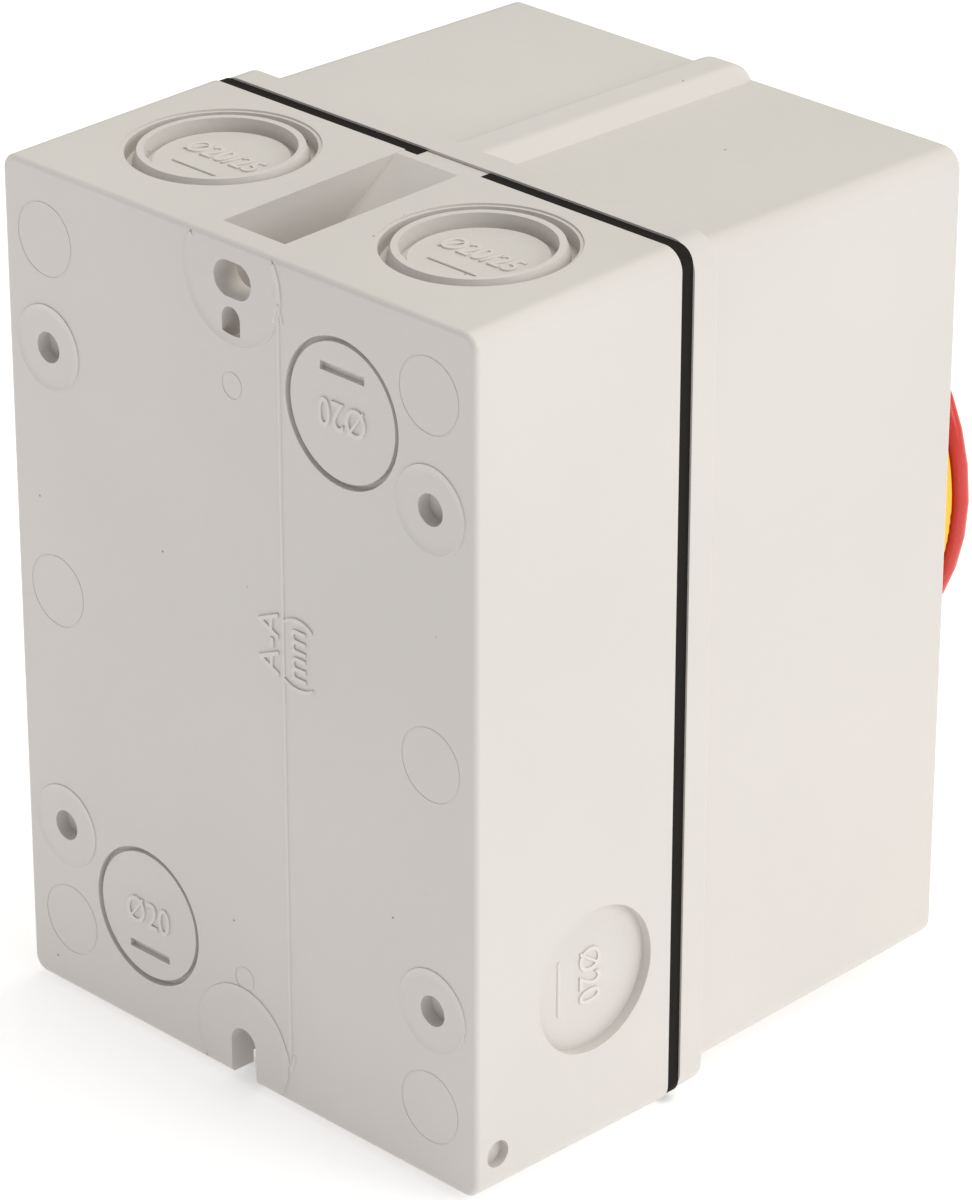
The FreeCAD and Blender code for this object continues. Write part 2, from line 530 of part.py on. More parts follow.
def latch_cover():
    """Cover of the latch housing, which takes the heads of the tie screws."""
    cover = box(-LATCH_HALF, LATCH_HALF, COVER_BACK, COVER_FRONT, -LATCH_HALF, LATCH_HALF)
    cover = softened(cover, 2.0, lambda e: abs(abs(e.CenterOfMass.x) - LATCH_HALF) < 1e-6
                     and abs(abs(e.CenterOfMass.z) - LATCH_HALF) < 1e-6)
    cuts = [rod(HUB_HOLE_R, COVER_BACK - 1, COVER_FRONT + 1)]
    cuts += [rod(TIE_R + 0.1, COVER_BACK - 1, COVER_FRONT + 1, 0, sign * TIE_Z) for sign in (-1, 1)]
    return cover.cut(group(cuts))


def pan_screw(r, head_r, head_h, tip, seat, x, z, slot_w=0.8):
    """A slotted pan-head screw along the depth: tip at the back, head in front of its seat."""
    head = rod(head_r, seat, seat + head_h, x, z)
    head = softened(head, 0.3 * head_h, lambda e: abs(e.CenterOfMass.y + seat + head_h) < 1e-6)
    slot_floor, slot_front = seat + 0.55 * head_h, seat + head_h + 1
    slot = box(x - head_r, x + head_r, slot_floor, slot_front, z - slot_w / 2, z + slot_w / 2)
    return join([head, rod(r, tip, seat + 0.1, x, z)]).cut(slot)


# ---------------------------------------------------------------- rotor
def square_rod(side, d0, d1):
    """A square bar on the axis."""
    return box(-side / 2, side / 2, d0, d1, -side / 2, side / 2)


def drive_shaft():
    """Square shaft with a round journal at the rear and a chamfered front end."""
    bar = square_rod(SHAFT_SIDE, STACK_BACK + 3, SHAFT_FRONT)
    bar = bar.makeChamfer(0.8, [e for e in bar.Edges if abs(e.CenterOfMass.y + SHAFT_FRONT) < 1e-6])
    journal = rod(JOURNAL_R, STACK_BACK + 1.3, CHAMBER_REAR + 0.2)
    groove = tube(6, 2.7, COVER_FRONT + 0.4, COVER_FRONT + 1.4)
    return join([bar, journal]).cut(groove)


def cam(back):
    """Two-lobed cam whose radius falls evenly over a quarter turn and rises over the next."""
    middle = back + WEB + (CHAMBER_T - WEB) / 2
    steps = 24
    d0, d1 = middle - CAM_T / 2, middle + CAM_T / 2
    points = []
    for k in range(4):
        for i in range(steps):
            share = i / steps
            radius = CAM_HIGH - BRIDGE_TRAVEL * (share if k % 2 == 0 else 1 - share)
            angle = math.pi / 2 * (k + share)
            points.append(V(radius * math.cos(angle), -d0, radius * math.sin(angle)))
    face = Part.Face(Part.makePolygon(points + points[:1]))
    lobes = face.extrude(V(0, -(d1 - d0), 0))
    hub = rod(HUB_HOLE_R - 0.4, back + 0.2, back + CHAMBER_T - 0.2)
    return join([lobes, hub]).cut(square_rod(SHAFT_SIDE, back - 1, back + CHAMBER_T + 1))


def star_wheel():
    """Indexing wheel with four shallow notches."""
    d0 = LATCH_BACK + WEB + 0.5
    wheel = rod(STAR_TIP, d0, d0 + STAR_T)
    notch_r = 3.2
    reach = STAR_NOTCH + notch_r
    cuts = [rod(notch_r, d0 - 1, d0 + STAR_T + 1, reach * math.cos(a), reach * math.sin(a))
            for a in (math.pi / 2 * k for k in range(4))]
    hub = rod(HUB_HOLE_R - 0.4, LATCH_BACK + 0.3, COVER_FRONT - 0.2)
    return join([wheel.cut(group(cuts)), hub]).cut(square_rod(SHAFT_SIDE, LATCH_BACK - 1, COVER_FRONT + 1))


# ---------------------------------------------------------------- contacts
def fixed_contacts(back):
    """Four fixed contacts of one deck: a copper strip, a silver button and a tapped terminal end."""
    middle = back + WEB + (CHAMBER_T - WEB) / 2
    shapes = []
    for side in (-1, 1):
        for end in (-1, 1):
            near, far = sorted((side * FIXED_X, side * (FIXED_X + FIXED_T)))
            low, high = sorted((end * 6.2, end * 24.5))
            strip = box(near, far, middle - CONTACT_W / 2, middle + CONTACT_W / 2, low, high)
            button = rod_x(BUTTON_R, side * (FIXED_X + FIXED_T - 0.1),
                           side * (FIXED_X + FIXED_T + BUTTON_T), middle, end * BUTTON_Z)
            near, far = side * (FIXED_X - 1), side * (FIXED_X + 2)
            hole = rod_x(TERMINAL_SCREW_R, near, far, middle, end * TERMINAL_Z)
            shapes.append(join([strip, button]).cut(hole))
    return group(shapes)


def plunger(back, side):
    """Moulded follower that the cam pushes outwards, with a pin through the bridge."""
    middle = back + WEB + (CHAMBER_T - WEB) / 2
    tip = CAM_HIGH + PLUNGER_PLAY
    shoulder = FIXED_X + FIXED_T + BUTTON_T + CONTACT_GAP + BRIDGE_TRAVEL + BUTTON_T
    back, front = middle - PLUNGER_HALF_Y, middle + PLUNGER_HALF_Y
    nose_r = 1.5
    near, far = sorted((side * (tip + nose_r), side * shoulder))
    body = box(near, far, back, front, -PLUNGER_HALF_Z, PLUNGER_HALF_Z)
    nose = rod(nose_r, back, front, side * (tip + nose_r), 0)
    pin = rod_x(1.2, side * (shoulder - 0.5), side * (shoulder + FIXED_T + 0.6), middle, 0)
    return join([body, nose, pin])


def bridge(back, side):
    """Moving copper bridge with a silver button at each end."""
    middle = back + WEB + (CHAMBER_T - WEB) / 2
    shoulder = FIXED_X + FIXED_T + BUTTON_T + CONTACT_GAP + BRIDGE_TRAVEL + BUTTON_T
    near, far = sorted((side * shoulder, side * (shoulder + FIXED_T)))
    strip = box(near, far, middle - CONTACT_W / 2, middle + CONTACT_W / 2, -BRIDGE_END, BRIDGE_END)
    buttons = [rod_x(BUTTON_R, side * (shoulder - BUTTON_T), side * (shoulder + 0.1), middle, end * BUTTON_Z)
               for end in (-1, 1)]
    hole = rod_x(1.2, side * (shoulder - 1), side * (shoulder + 2), middle, 0)
    return join([strip] + buttons).cut(hole)


def coil(length, radius, wire, turns, place, axis):
    """A compression spring: an eight-sided wire carried along a helix."""
    helix = Part.makeHelix(length / turns, length, radius)
    around = [math.pi / 8 + k * math.pi / 4 for k in range(9)]
    ring = Part.makePolygon([V(radius + wire / 2 * math.cos(a), 0, wire / 2 * math.sin(a)) for a in around])
    spring = helix.makePipeShell([ring], True, True)
    spring.Placement = FreeCAD.Placement(place, FreeCAD.Rotation(V(0, 0, 1), axis))
    return spring


def contact_springs():
    """Four springs that press the bridges inwards."""
    shoulder = FIXED_X + FIXED_T + BUTTON_T + CONTACT_GAP + BRIDGE_TRAVEL + BUTTON_T + FIXED_T
    room = SPRING_SEAT_X - shoulder
    shapes = []
    for back in (CHAMBER_REAR, CHAMBER_FRONT):
        middle = back + WEB + (CHAMBER_T - WEB) / 2
        for side in (-1, 1):
            place = V(side * (shoulder + 0.35), -middle, 0)
            shapes.append(coil(room - 0.7, 2.0, 0.45, 3.5, place, V(side, 0, 0)))
    return group(shapes)


def terminal_screws():
    """Eight terminal screws, reached from the sides of the switch."""
    shapes = []
    for back in (CHAMBER_REAR, CHAMBER_FRONT):
        middle = back + WEB + (CHAMBER_T - WEB) / 2
        for side in (-1, 1):
            for end in (-1, 1):
                seat = FIXED_X + FIXED_T + 2.8
                head = rod_x(TERMINAL_HEAD_R, side * seat, side * (seat + 2.8), middle, end * TERMINAL_Z)
                shank = rod_x(TERMINAL_SCREW_R, side * 10.0, side * (seat + 0.5), middle, end * TERMINAL_Z)
                near, far = sorted((side * (seat + 1.6), side * (seat + 4)))
                bottom, top = end * TERMINAL_Z - 4, end * TERMINAL_Z + 4
                slot = box(near, far, middle - 0.45, middle + 0.45, bottom, top)
                shapes.append(join([head, shank]).cut(slot))
    return group(shapes)


def terminal_clamps():
    """Eight square clamp plates under the terminal screws."""
    shapes = []
    for back in (CHAMBER_REAR, CHAMBER_FRONT):
        middle = back + WEB + (CHAMBER_T - WEB) / 2
        for side in (-1, 1):
            for end in (-1, 1):
                near, far = sorted((side * (FIXED_X + FIXED_T + 1.6), side * (FIXED_X + FIXED_T + 2.8)))
                z = end * TERMINAL_Z
                plate = box(near, far, middle - 4, middle + 4, z - 3.9, z + 3.9)
                hole = rod_x(TERMINAL_SCREW_R, side * 10, side * STACK_HALF_X, middle, z)
                shapes.append(plate.cut(hole))
    return group(shapes)


# ---------------------------------------------------------------- collar and handle
def collar():
    """Yellow collar on the lid's front: a shallow cup with four screw pillars inside."""
    cup = rod(COLLAR_R, LID_FRONT, COLLAR_FRONT)
    cup = softened(cup, 0.5, lambda e: abs(e.CenterOfMass.y + COLLAR_FRONT) < 1e-6)
    cup = cup.cut(rod(COLLAR_INNER, LID_FRONT + COLLAR_FLOOR, COLLAR_FRONT + 1))
    spots = corners(*[COLLAR_SCREW_PCD_R / math.sqrt(2)] * 2)
    pillars = [rod(COLLAR_PILLAR_R, LID_FRONT + 1, LID_FRONT + 8.5, x, z) for x, z in spots]
    cup = join([cup] + pillars)
    cuts = [rod(BUSH_R, LID_FRONT - 1, LID_FRONT + COLLAR_FLOOR + 1),
            tube(27.0, 25.0, LID_FRONT - 1, LID_FRONT + 1.0)]
    cuts += [rod(1.5, LID_FRONT - 1, LID_FRONT + 7.3, x, z) for x, z in spots]
    return cup.cut(group(cuts))


def collar_screws():
    """Screws that hold the collar from inside the lid."""
    shapes = []
    for x, z in corners(*[COLLAR_SCREW_PCD_R / math.sqrt(2)] * 2):
        head = rod(2.9, LID_INNER - 2.1, LID_INNER, x, z)
        shank = rod(1.5, LID_INNER - 0.1, LID_FRONT + 7.0, x, z)
        slot = box(x - 4, x + 4, LID_INNER - 3, LID_INNER - 1.1, z - 0.4, z + 0.4)
        shapes.append(join([head, shank]).cut(slot))
    return group(shapes)


def stem_bush():
    """Bearing bush for the handle's stem, with a flange behind the lid's front wall."""
    sleeve = rod(BUSH_R, LID_INNER - 1, LID_FRONT + COLLAR_FLOOR)
    flange = rod(BUSH_FLANGE_R, LID_INNER - 2.2, LID_INNER)
    return join([sleeve, flange]).cut(rod(STEM_R + STEM_PLAY, LID_INNER - 3, LID_FRONT + 5))


def handle_driver():
    """Stem under the handle: a square socket for the shaft, a seal groove and a clip groove."""
    stem = rod(STEM_R, STEM_BACK, DISC_BACK - 0.1)
    cuts = [square_rod(SOCKET_SIDE, STEM_BACK - 1, SHAFT_FRONT + 1.5),
            tube(STEM_R + 2, STEM_R - 1.47, LID_FRONT - 0.9, LID_FRONT + 0.6),
            tube(STEM_R + 2, STEM_R - 0.9, LID_INNER - 4.2, LID_INNER - 2.5),
            rod(1.6, SHAFT_FRONT, DISC_BACK + 1)]
    return stem.cut(group(cuts))


def grip_bar():
    """The grip: a long bar with round ends, a little narrower at the top, with soft edges."""
    low = rounded_wire(GRIP_LENGTH, GRIP_W, GRIP_W / 2 - 0.01, DISC_FRONT - 1)
    high = rounded_wire(GRIP_LENGTH - 4, GRIP_W - 2, GRIP_W / 2 - 1.01, GRIP_TOP)
    bar = Part.makeLoft([low, high], True, True)
    return softened(bar, 1.6, lambda e: all(abs(v.Point.y + GRIP_TOP) < 1e-6 for v in e.Vertexes))


def handle_knob():
    """Red handle: a round disc over the collar, a hub and skirt behind it and the grip in front."""
    disc = rod(DISC_R, DISC_BACK, DISC_FRONT)
    disc = softened(disc, 1.2, lambda e: abs(e.CenterOfMass.y + DISC_FRONT) < 1e-6
                    or abs(e.CenterOfMass.y + DISC_BACK) < 1e-6)
    skirt = tube(SKIRT_OUT, SKIRT_IN, SKIRT_BACK, DISC_BACK + 0.5)
    hub = rod(HUB_R, HUB_BACK, DISC_BACK + 0.5)
    solid = join([disc, skirt, hub, grip_bar()])
    room = LOCK_PLAY
    cuts = [rod(STEM_R, HUB_BACK - 1, DISC_BACK - 0.1),
            rod(2.1, DISC_BACK - 1, GRIP_TOP + 1),
            rod(4.2, 113.0, GRIP_TOP + 1),
            box(5.2, GRIP_LENGTH / 2 + 1, LOCK_BACK - room, LOCK_FRONT + room,
                -LOCK_HALF_Z - room, LOCK_HALF_Z + room),
            box(INLAY_START, INLAY_END, GRIP_TOP - INLAY_SUNK - INLAY_T, GRIP_TOP + 1,
                -INLAY_HALF, INLAY_HALF)]
    return solid.cut(group(cuts))


def lock_slider():
    """Padlock slide in the grip: pulled out of the bar's end, it shows a shackle hole."""
    plate = box(LOCK_TAIL, LOCK_END, LOCK_BACK, LOCK_FRONT, -LOCK_HALF_Z, LOCK_HALF_Z)
    plate = softened(plate, 1.0, lambda e: abs(e.CenterOfMass.x - LOCK_END) < 1e-6
                     and abs(e.CenterOfMass.z) < 1e-6)
    middle = (LOCK_BACK + LOCK_FRONT) / 2
    return plate.cut(rod_z(LOCK_HOLE_R, -LOCK_HALF_Z - 1, LOCK_HALF_Z + 1, LOCK_HOLE_X, middle))


# ---------------------------------------------------------------- all nodes
def case_nodes():
    """The base and what is fixed to it, apart from the switch."""
    save("enclosure_base", enclosure_base())
    insert_back = POST_TOP - INSERT_LENGTH
    save("lid_screw_inserts", group(tube(INSERT_R, LID_SCREW_R + 0.1, insert_back, POST_TOP, x, z)
                                    for x, z in corners(POST_X, POST_Z)))
    bar = box(EARTH_X - 3.5, EARTH_X + 3.5, EARTH_POST_TOP, EARTH_POST_TOP + 3.5, -8.2, 8.2)
    spots = [(EARTH_X, z) for z in (-4.5, 4.5)]
    save("earth_terminal_bar", bar.cut([rod(1.7, 0, 40, x, z) for x, z in spots]))
    clamp_back = EARTH_POST_TOP + 5.2
    save("earth_clamp_plates", group(
        box(x - 3.4, x + 3.4, clamp_back, clamp_back + 1, z - 3.4, z + 3.4).cut(rod(1.7, 0, 40, x, z))
        for x, z in spots))
    save("earth_terminal_screws", group(
        pan_screw(1.7, 2.9, 2.4, 10.0, clamp_back + 1, x, z) for x, z in spots))


def switch_nodes():
    """The fixed pieces of the switch."""
    save("switch_base_plate", base_plate())
    seat = CHAMBER_REAR - 1.5
    save("switch_fixing_screws", group(
        pan_screw(1.75, 3.4, 2.4, 5.0, seat, 0, sign * FIXING_Z) for sign in (-1, 1)))
    save("contact_chamber_rear", contact_chamber(CHAMBER_REAR))
    save("contact_chamber_front", contact_chamber(CHAMBER_FRONT))
    save("latch_housing", latch_housing())
    save("latch_cover", latch_cover())
    save("tie_screws", group(
        pan_screw(TIE_R, TIE_HEAD_R, TIE_HEAD_H, STACK_BACK + 0.8, COVER_FRONT, 0, sign * TIE_Z)
        for sign in (-1, 1)))
    save("fixed_contacts_rear", fixed_contacts(CHAMBER_REAR))
    save("fixed_contacts_front", fixed_contacts(CHAMBER_FRONT))
    save("terminal_screws", terminal_screws())
    save("terminal_clamps", terminal_clamps())
    roller_x = STAR_TIP + 0.3 + 2.5
    roller_back = LATCH_BACK + WEB + 0.6
    save("latch_rollers", group(rod(2.5, roller_back, roller_back + 6.8, side * roller_x, 0)
                                for side in (-1, 1)))
    spring_d = roller_back + 3.4
    save("latch_springs", group(
        coil(20.3 - roller_x - 3.2, 1.8, 0.5, 3.5, V(side * (roller_x + 2.95), -spring_d, 0), V(side, 0, 0))
        for side in (-1, 1)))
    save("contact_springs", contact_springs())


def rotor_nodes():
    """Everything that turns with the shaft, and the bridges that the cams drive."""
    save("drive_shaft", drive_shaft())
    save("cam_rear", cam(CHAMBER_REAR))
    save("cam_front", cam(CHAMBER_FRONT))
    save("star_wheel", star_wheel())
    save("shaft_clip", tube(5.4, 2.7, COVER_FRONT + 0.5, COVER_FRONT + 1.3).cut(
        box(1.6, 6, 0, 100, -1.8, 1.8)))
    for deck, back in (("rear", CHAMBER_REAR), ("front", CHAMBER_FRONT)):
        for hand, side in (("left", -1), ("right", 1)):
            save(f"plunger_{deck}_{hand}", plunger(back, side))
            save(f"contact_bridge_{deck}_{hand}", bridge(back, side))


def lid_nodes():
    """The lid and everything that lifts off with it."""
    save("enclosure_lid", enclosure_lid())
    save("lid_gasket", lid_gasket())
    save("lid_screws", lid_screws())
    seal_r, seal_t = LID_SCREW_HEAD_R - 0.1, 0.8
    save("lid_screw_seals", group(tube(seal_r, LID_SCREW_R, WELL_FLOOR, WELL_FLOOR + seal_t, x, z)
                                  for x, z in corners(POST_X, POST_Z)))
    save("handle_collar", collar())
    save("collar_seal", tube(27.0, 25.0, LID_FRONT, LID_FRONT + 1.0))
    save("collar_screws", collar_screws())
    save("stem_bush", stem_bush())


def handle_nodes():
    """The handle, its stem and the padlock slide, turned so that the grip stands upright."""
    save("handle_knob", turned(handle_knob()))
    save("handle_driver", handle_driver())
    save("handle_screw", pan_screw(1.6, 3.4, 2.4, SHAFT_FRONT + 2, 113.0, 0, 0))
    cap = rod(4.15, GRIP_TOP - 2.2, GRIP_TOP - 0.2)
    save("screw_cap", softened(cap, 0.4, lambda e: abs(e.CenterOfMass.y + GRIP_TOP - 0.2) < 1e-6))
    inlay_front = GRIP_TOP - INLAY_SUNK
    save("pointer_inlay", turned(box(INLAY_START, INLAY_END, inlay_front - INLAY_T, inlay_front,
                                     -INLAY_HALF, INLAY_HALF)))
    seal_r = 0.73
    save("stem_seal", Part.makeTorus(STEM_R + 0.01 - seal_r, seal_r, V(0, -LID_FRONT + 0.15, 0), V(0, 1, 0)))
    save("stem_clip", tube(STEM_R + 2.2, STEM_R - 0.9, LID_INNER - 4.1, LID_INNER - 2.6).cut(
        box(5, 14, 0, 100, -2.2, 2.2)))
    save("lock_slider", turned(lock_slider()))
    save("lock_spring", turned(coil(LOCK_TAIL - 5.2 - 0.7, 2.0, 0.5, 4.0,
                                    V(5.55, -(LOCK_BACK + LOCK_FRONT) / 2, 0), V(1, 0, 0))))


case_nodes()
switch_nodes()
rotor_nodes()
lid_nodes()
handle_nodes()
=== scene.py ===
"""Looks of an enclosed rotary isolator switch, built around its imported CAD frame.

The case's front faces -Y, its rear mounting face lies at y = 0 and +Z is up. Lengths are in metres.
Each sub-assembly is a class that builds its own meshes and dresses its CAD nodes.
"""

import logging
import math
from dataclasses import dataclass
from enum import Enum
from typing import Iterable, Sequence

import bpy
import numpy as np
from mathutils import Matrix, Vector

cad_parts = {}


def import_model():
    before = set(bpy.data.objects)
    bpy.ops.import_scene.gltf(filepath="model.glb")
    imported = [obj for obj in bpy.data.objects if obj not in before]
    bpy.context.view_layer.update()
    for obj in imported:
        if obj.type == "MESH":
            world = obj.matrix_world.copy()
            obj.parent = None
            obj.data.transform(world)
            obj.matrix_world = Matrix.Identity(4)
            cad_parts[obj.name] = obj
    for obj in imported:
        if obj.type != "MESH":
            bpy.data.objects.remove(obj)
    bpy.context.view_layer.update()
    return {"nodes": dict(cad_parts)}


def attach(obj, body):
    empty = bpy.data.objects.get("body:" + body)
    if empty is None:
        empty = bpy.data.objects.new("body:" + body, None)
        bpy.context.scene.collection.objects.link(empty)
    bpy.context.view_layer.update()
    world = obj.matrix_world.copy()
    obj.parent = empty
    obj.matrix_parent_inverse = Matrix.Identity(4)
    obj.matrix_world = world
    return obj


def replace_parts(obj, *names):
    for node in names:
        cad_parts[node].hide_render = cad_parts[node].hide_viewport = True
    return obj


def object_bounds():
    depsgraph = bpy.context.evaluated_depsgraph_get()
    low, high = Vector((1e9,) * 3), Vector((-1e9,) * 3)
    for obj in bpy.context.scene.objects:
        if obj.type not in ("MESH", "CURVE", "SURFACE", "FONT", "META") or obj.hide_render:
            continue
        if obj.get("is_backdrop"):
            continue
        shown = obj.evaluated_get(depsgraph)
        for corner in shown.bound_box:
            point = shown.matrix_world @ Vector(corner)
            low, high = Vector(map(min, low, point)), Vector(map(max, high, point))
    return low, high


LOG = logging.getLogger("isolator")
MM = 0.001
TURN = 2.0 * math.pi
RGB = tuple[float, float, float]


# ---------------------------------------------------------------- meshes
def rgba(colour: RGB) -> tuple[float, float, float, float]:
    """A colour with full opacity."""
    return (*colour, 1.0)


def rounded_outline(half_x: float, half_z: float, corner: float, per_corner: int,
                    per_side: int = 1) -> np.ndarray:
    """Points round a rectangle with circular corners, and the outward direction at each.

    Each corner is a quarter circle about its centre; the straight sides between two corners are
    split evenly.

    Args:
        half_x: Half the width.
        half_z: Half the height.
        corner: Corner radius.
        per_corner: Steps along each quarter circle.
        per_side: Steps along each straight side.

    Returns:
        An array of rows (x, z, outward x, outward z), going round once.
    """
    angle = np.linspace(0.0, math.pi / 2, per_corner + 1)
    rows = []
    for quarter, (sx, sz) in enumerate(((1, 1), (-1, 1), (-1, -1), (1, -1))):
        a = angle + quarter * math.pi / 2
        out = np.stack([np.cos(a), np.sin(a)], axis=1)
        centre = np.array([sx * (half_x - corner), sz * (half_z - corner)])
        rows.append(np.hstack([centre + corner * out, out]))
    ring = []
    for quarter in range(4):
        start, end = rows[quarter][-1], rows[(quarter + 1) % 4][0]
        share = np.linspace(0.0, 1.0, per_side + 1)[1:-1, None]
        ring += [rows[quarter], start + (end - start) * share]
    return np.vstack(ring)


def grid_faces(rows: int, columns: int, close_rows: bool, close_columns: bool) -> np.ndarray:
    """Quads of a grid of points: each joins a point, its neighbours and the point across.

    Args:
        rows: Number of rows.
        columns: Number of points in a row.
        close_rows: Whether the last row meets the first.
        close_columns: Whether each row is a closed ring.

    Returns:
        An array of four point numbers for each face.
    """
    i = np.arange(rows if close_rows else rows - 1)
    j = np.arange(columns if close_columns else columns - 1)
    a, b = np.meshgrid(i, j, indexing="ij")
    a2, b2 = (a + 1) % rows, (b + 1) % columns
    quads = np.stack([a * columns + b, a2 * columns + b, a2 * columns + b2, a * columns + b2], axis=-1)
    return quads.reshape(-1, 4)


def mesh_piece(name: str, points: np.ndarray, faces: Sequence[Sequence[int]],
               smooth_angle: float = 35.0) -> bpy.types.Object:
    """A new object at the origin from points and faces, smooth except along sharp edges.

    Args:
        name: Name of the object and its mesh.
        points: Array of (x, y, z) in metres.
        faces: Point numbers of each face.
        smooth_angle: Edges sharper than this many degrees stay crisp.

    Returns:
        The linked object.
    """
    data = bpy.data.meshes.new(name)
    data.from_pydata(points.reshape(-1, 3).tolist(), [], [list(map(int, face)) for face in faces])
    data.validate()
    data.polygons.foreach_set("use_smooth", np.ones(len(data.polygons), bool))
    data.set_sharp_from_angle(angle=math.radians(smooth_angle))
    piece = bpy.data.objects.new(name, data)
    bpy.context.scene.collection.objects.link(piece)
    return piece


def capped_grid(grid: np.ndarray, close_columns: bool = True) -> tuple[np.ndarray, list[list[int]]]:
    """A tube of rings with its first and last ring closed by one flat face each.

    Args:
        grid: Array of rows of points.
        close_columns: Whether each row is a closed ring.

    Returns:
        The points and the faces.
    """
    rows, columns = grid.shape[:2]
    faces = grid_faces(rows, columns, False, close_columns).tolist()
    first = list(range(columns))
    last = [(rows - 1) * columns + k for k in range(columns)]
    faces += [first, last[::-1]]
    return grid.reshape(-1, 3), faces


def face_outwards(piece: bpy.types.Object) -> bpy.types.Object:
    """Turn every face of a closed piece outwards: flip them all if the signed volume is negative.

    Args:
        piece: A closed mesh with consistent faces.

    Returns:
        The same piece.
    """
    data = piece.data
    data.calc_loop_triangles()
    co = np.empty(len(data.vertices) * 3)
    data.vertices.foreach_get("co", co)
    tri = np.empty(len(data.loop_triangles) * 3, np.int64)
    data.loop_triangles.foreach_get("vertices", tri)
    a, b, c = (co.reshape(-1, 3)[tri.reshape(-1, 3)[:, k]] for k in range(3))
    if np.einsum("ij,ij->i", a, np.cross(b, c)).sum() < 0:
        data.flip_normals()
    return piece


def cut_away(piece: bpy.types.Object, cutters: Iterable[bpy.types.Object]) -> bpy.types.Object:
    """Subtract closed cutters from a piece and remove them.

    Args:
        piece: The piece to cut.
        cutters: Closed meshes.

    Returns:
        The piece with its new mesh.
    """
    for cutter in cutters:
        modifier = piece.modifiers.new("cut", "BOOLEAN")
        modifier.operation = "DIFFERENCE"
        modifier.solver = "EXACT"
        modifier.object = cutter
        graph = bpy.context.evaluated_depsgraph_get()
        data = bpy.data.meshes.new_from_object(piece.evaluated_get(graph))
        piece.modifiers.clear()
        piece.data = data
        bpy.data.objects.remove(cutter)
    piece.data.set_sharp_from_angle(angle=math.radians(35.0))
    return piece


# ---------------------------------------------------------------- materials
class NodeSheet:
    """A new material's node tree with short ways to add and join nodes."""

    def __init__(self, name: str) -> None:
        """Start an empty material that uses nodes."""
        self.material = bpy.data.materials.new(name)
        self.material.use_nodes = True
        self.tree = self.material.node_tree
        self.tree.nodes.clear()
        self.shader = self.add("ShaderNodeBsdfPrincipled")
        output = self.add("ShaderNodeOutputMaterial")
        self.join(self.shader.outputs["BSDF"], output.inputs["Surface"])
        self.place = self.add("ShaderNodeTexCoord").outputs["Object"]

    def add(self, kind: str, **settings: object) -> bpy.types.Node:
        """Add a node and set its properties.

        Args:
            kind: Blender's node type.
            **settings: Properties of the node.

        Returns:
            The node.
        """
        node = self.tree.nodes.new(kind)
        for key, value in settings.items():
            setattr(node, key, value)
        return node

    def join(self, source: bpy.types.NodeSocket, target: bpy.types.NodeSocket) -> None:
        """Link one socket to another."""
        self.tree.links.new(source, target)

    def noise(self, scale: float, detail: float = 2.0,
              stretch: Sequence[float] = (1, 1, 1)) -> bpy.types.NodeSocket:
        """Value of a noise field on object coordinates.

        Args:
            scale: Cells in a metre.
            detail: Octaves.
            stretch: Factor along each axis.

        Returns:
            The value socket.
        """
        mapping = self.add("ShaderNodeMapping")
        mapping.inputs["Scale"].default_value = stretch
        self.join(self.place, mapping.inputs["Vector"])
        node = self.add("ShaderNodeTexNoise")
        node.inputs["Scale"].default_value = scale
        node.inputs["Detail"].default_value = detail
        self.join(mapping.outputs["Vector"], node.inputs["Vector"])
        return node.outputs["Fac"]

    def span(self, value: bpy.types.NodeSocket, low: float, high: float,
             to_low: float = 0.0, to_high: float = 1.0) -> bpy.types.NodeSocket:
        """Map a value from one range to another, clamped.

        Args:
            value: The socket to map.
            low: Start of the range read.
            high: End of the range read.
            to_low: Result at the start.
            to_high: Result at the end.

        Returns:
            The mapped socket.
        """
        node = self.add("ShaderNodeMapRange")
        ends = {"From Min": low, "From Max": high, "To Min": to_low, "To Max": to_high}
        for key, number in ends.items():
            node.inputs[key].default_value = number
        self.join(value, node.inputs["Value"])
        return node.outputs["Result"]

    def blend(self, share: bpy.types.NodeSocket, first: object, second: object) -> bpy.types.NodeSocket:
        """Mix two colours by a share.

        Args:
            share: Socket from 0 to 1.
            first: Colour or socket at 0.
            second: Colour or socket at 1.

        Returns:
            The colour socket.
        """
        node = self.add("ShaderNodeMix", data_type="RGBA")
        self.join(share, node.inputs["Factor"])
        for key, value in ((6, first), (7, second)):
            if isinstance(value, bpy.types.NodeSocket):
                self.join(value, node.inputs[key])
            else:
                node.inputs[key].default_value = rgba(value)
        return node.outputs[2]

    def relief(self, heights: Iterable[tuple[bpy.types.NodeSocket, float]]) -> None:
        """Stack bumps under the shader's normal.

        Args:
            heights: Height sockets, each with its depth in metres.
        """
        normal = None
        for height, depth in heights:
            bump = self.add("ShaderNodeBump")
            bump.inputs["Strength"].default_value = 1.0
            bump.inputs["Distance"].default_value = depth
            self.join(height, bump.inputs["Height"])
            if normal is not None:
                self.join(normal, bump.inputs["Normal"])
            normal = bump.outputs["Normal"]
        if normal is not None:
            self.join(normal, self.shader.inputs["Normal"])

    def put(self, **values: object) -> None:
        """Set plain numbers or link sockets to the shader's inputs, named with underscores."""
        for key, value in values.items():
            socket = self.shader.inputs[key.replace("_", " ")]
            if isinstance(value, bpy.types.NodeSocket):
                self.join(value, socket)
            else:
                socket.default_value = value


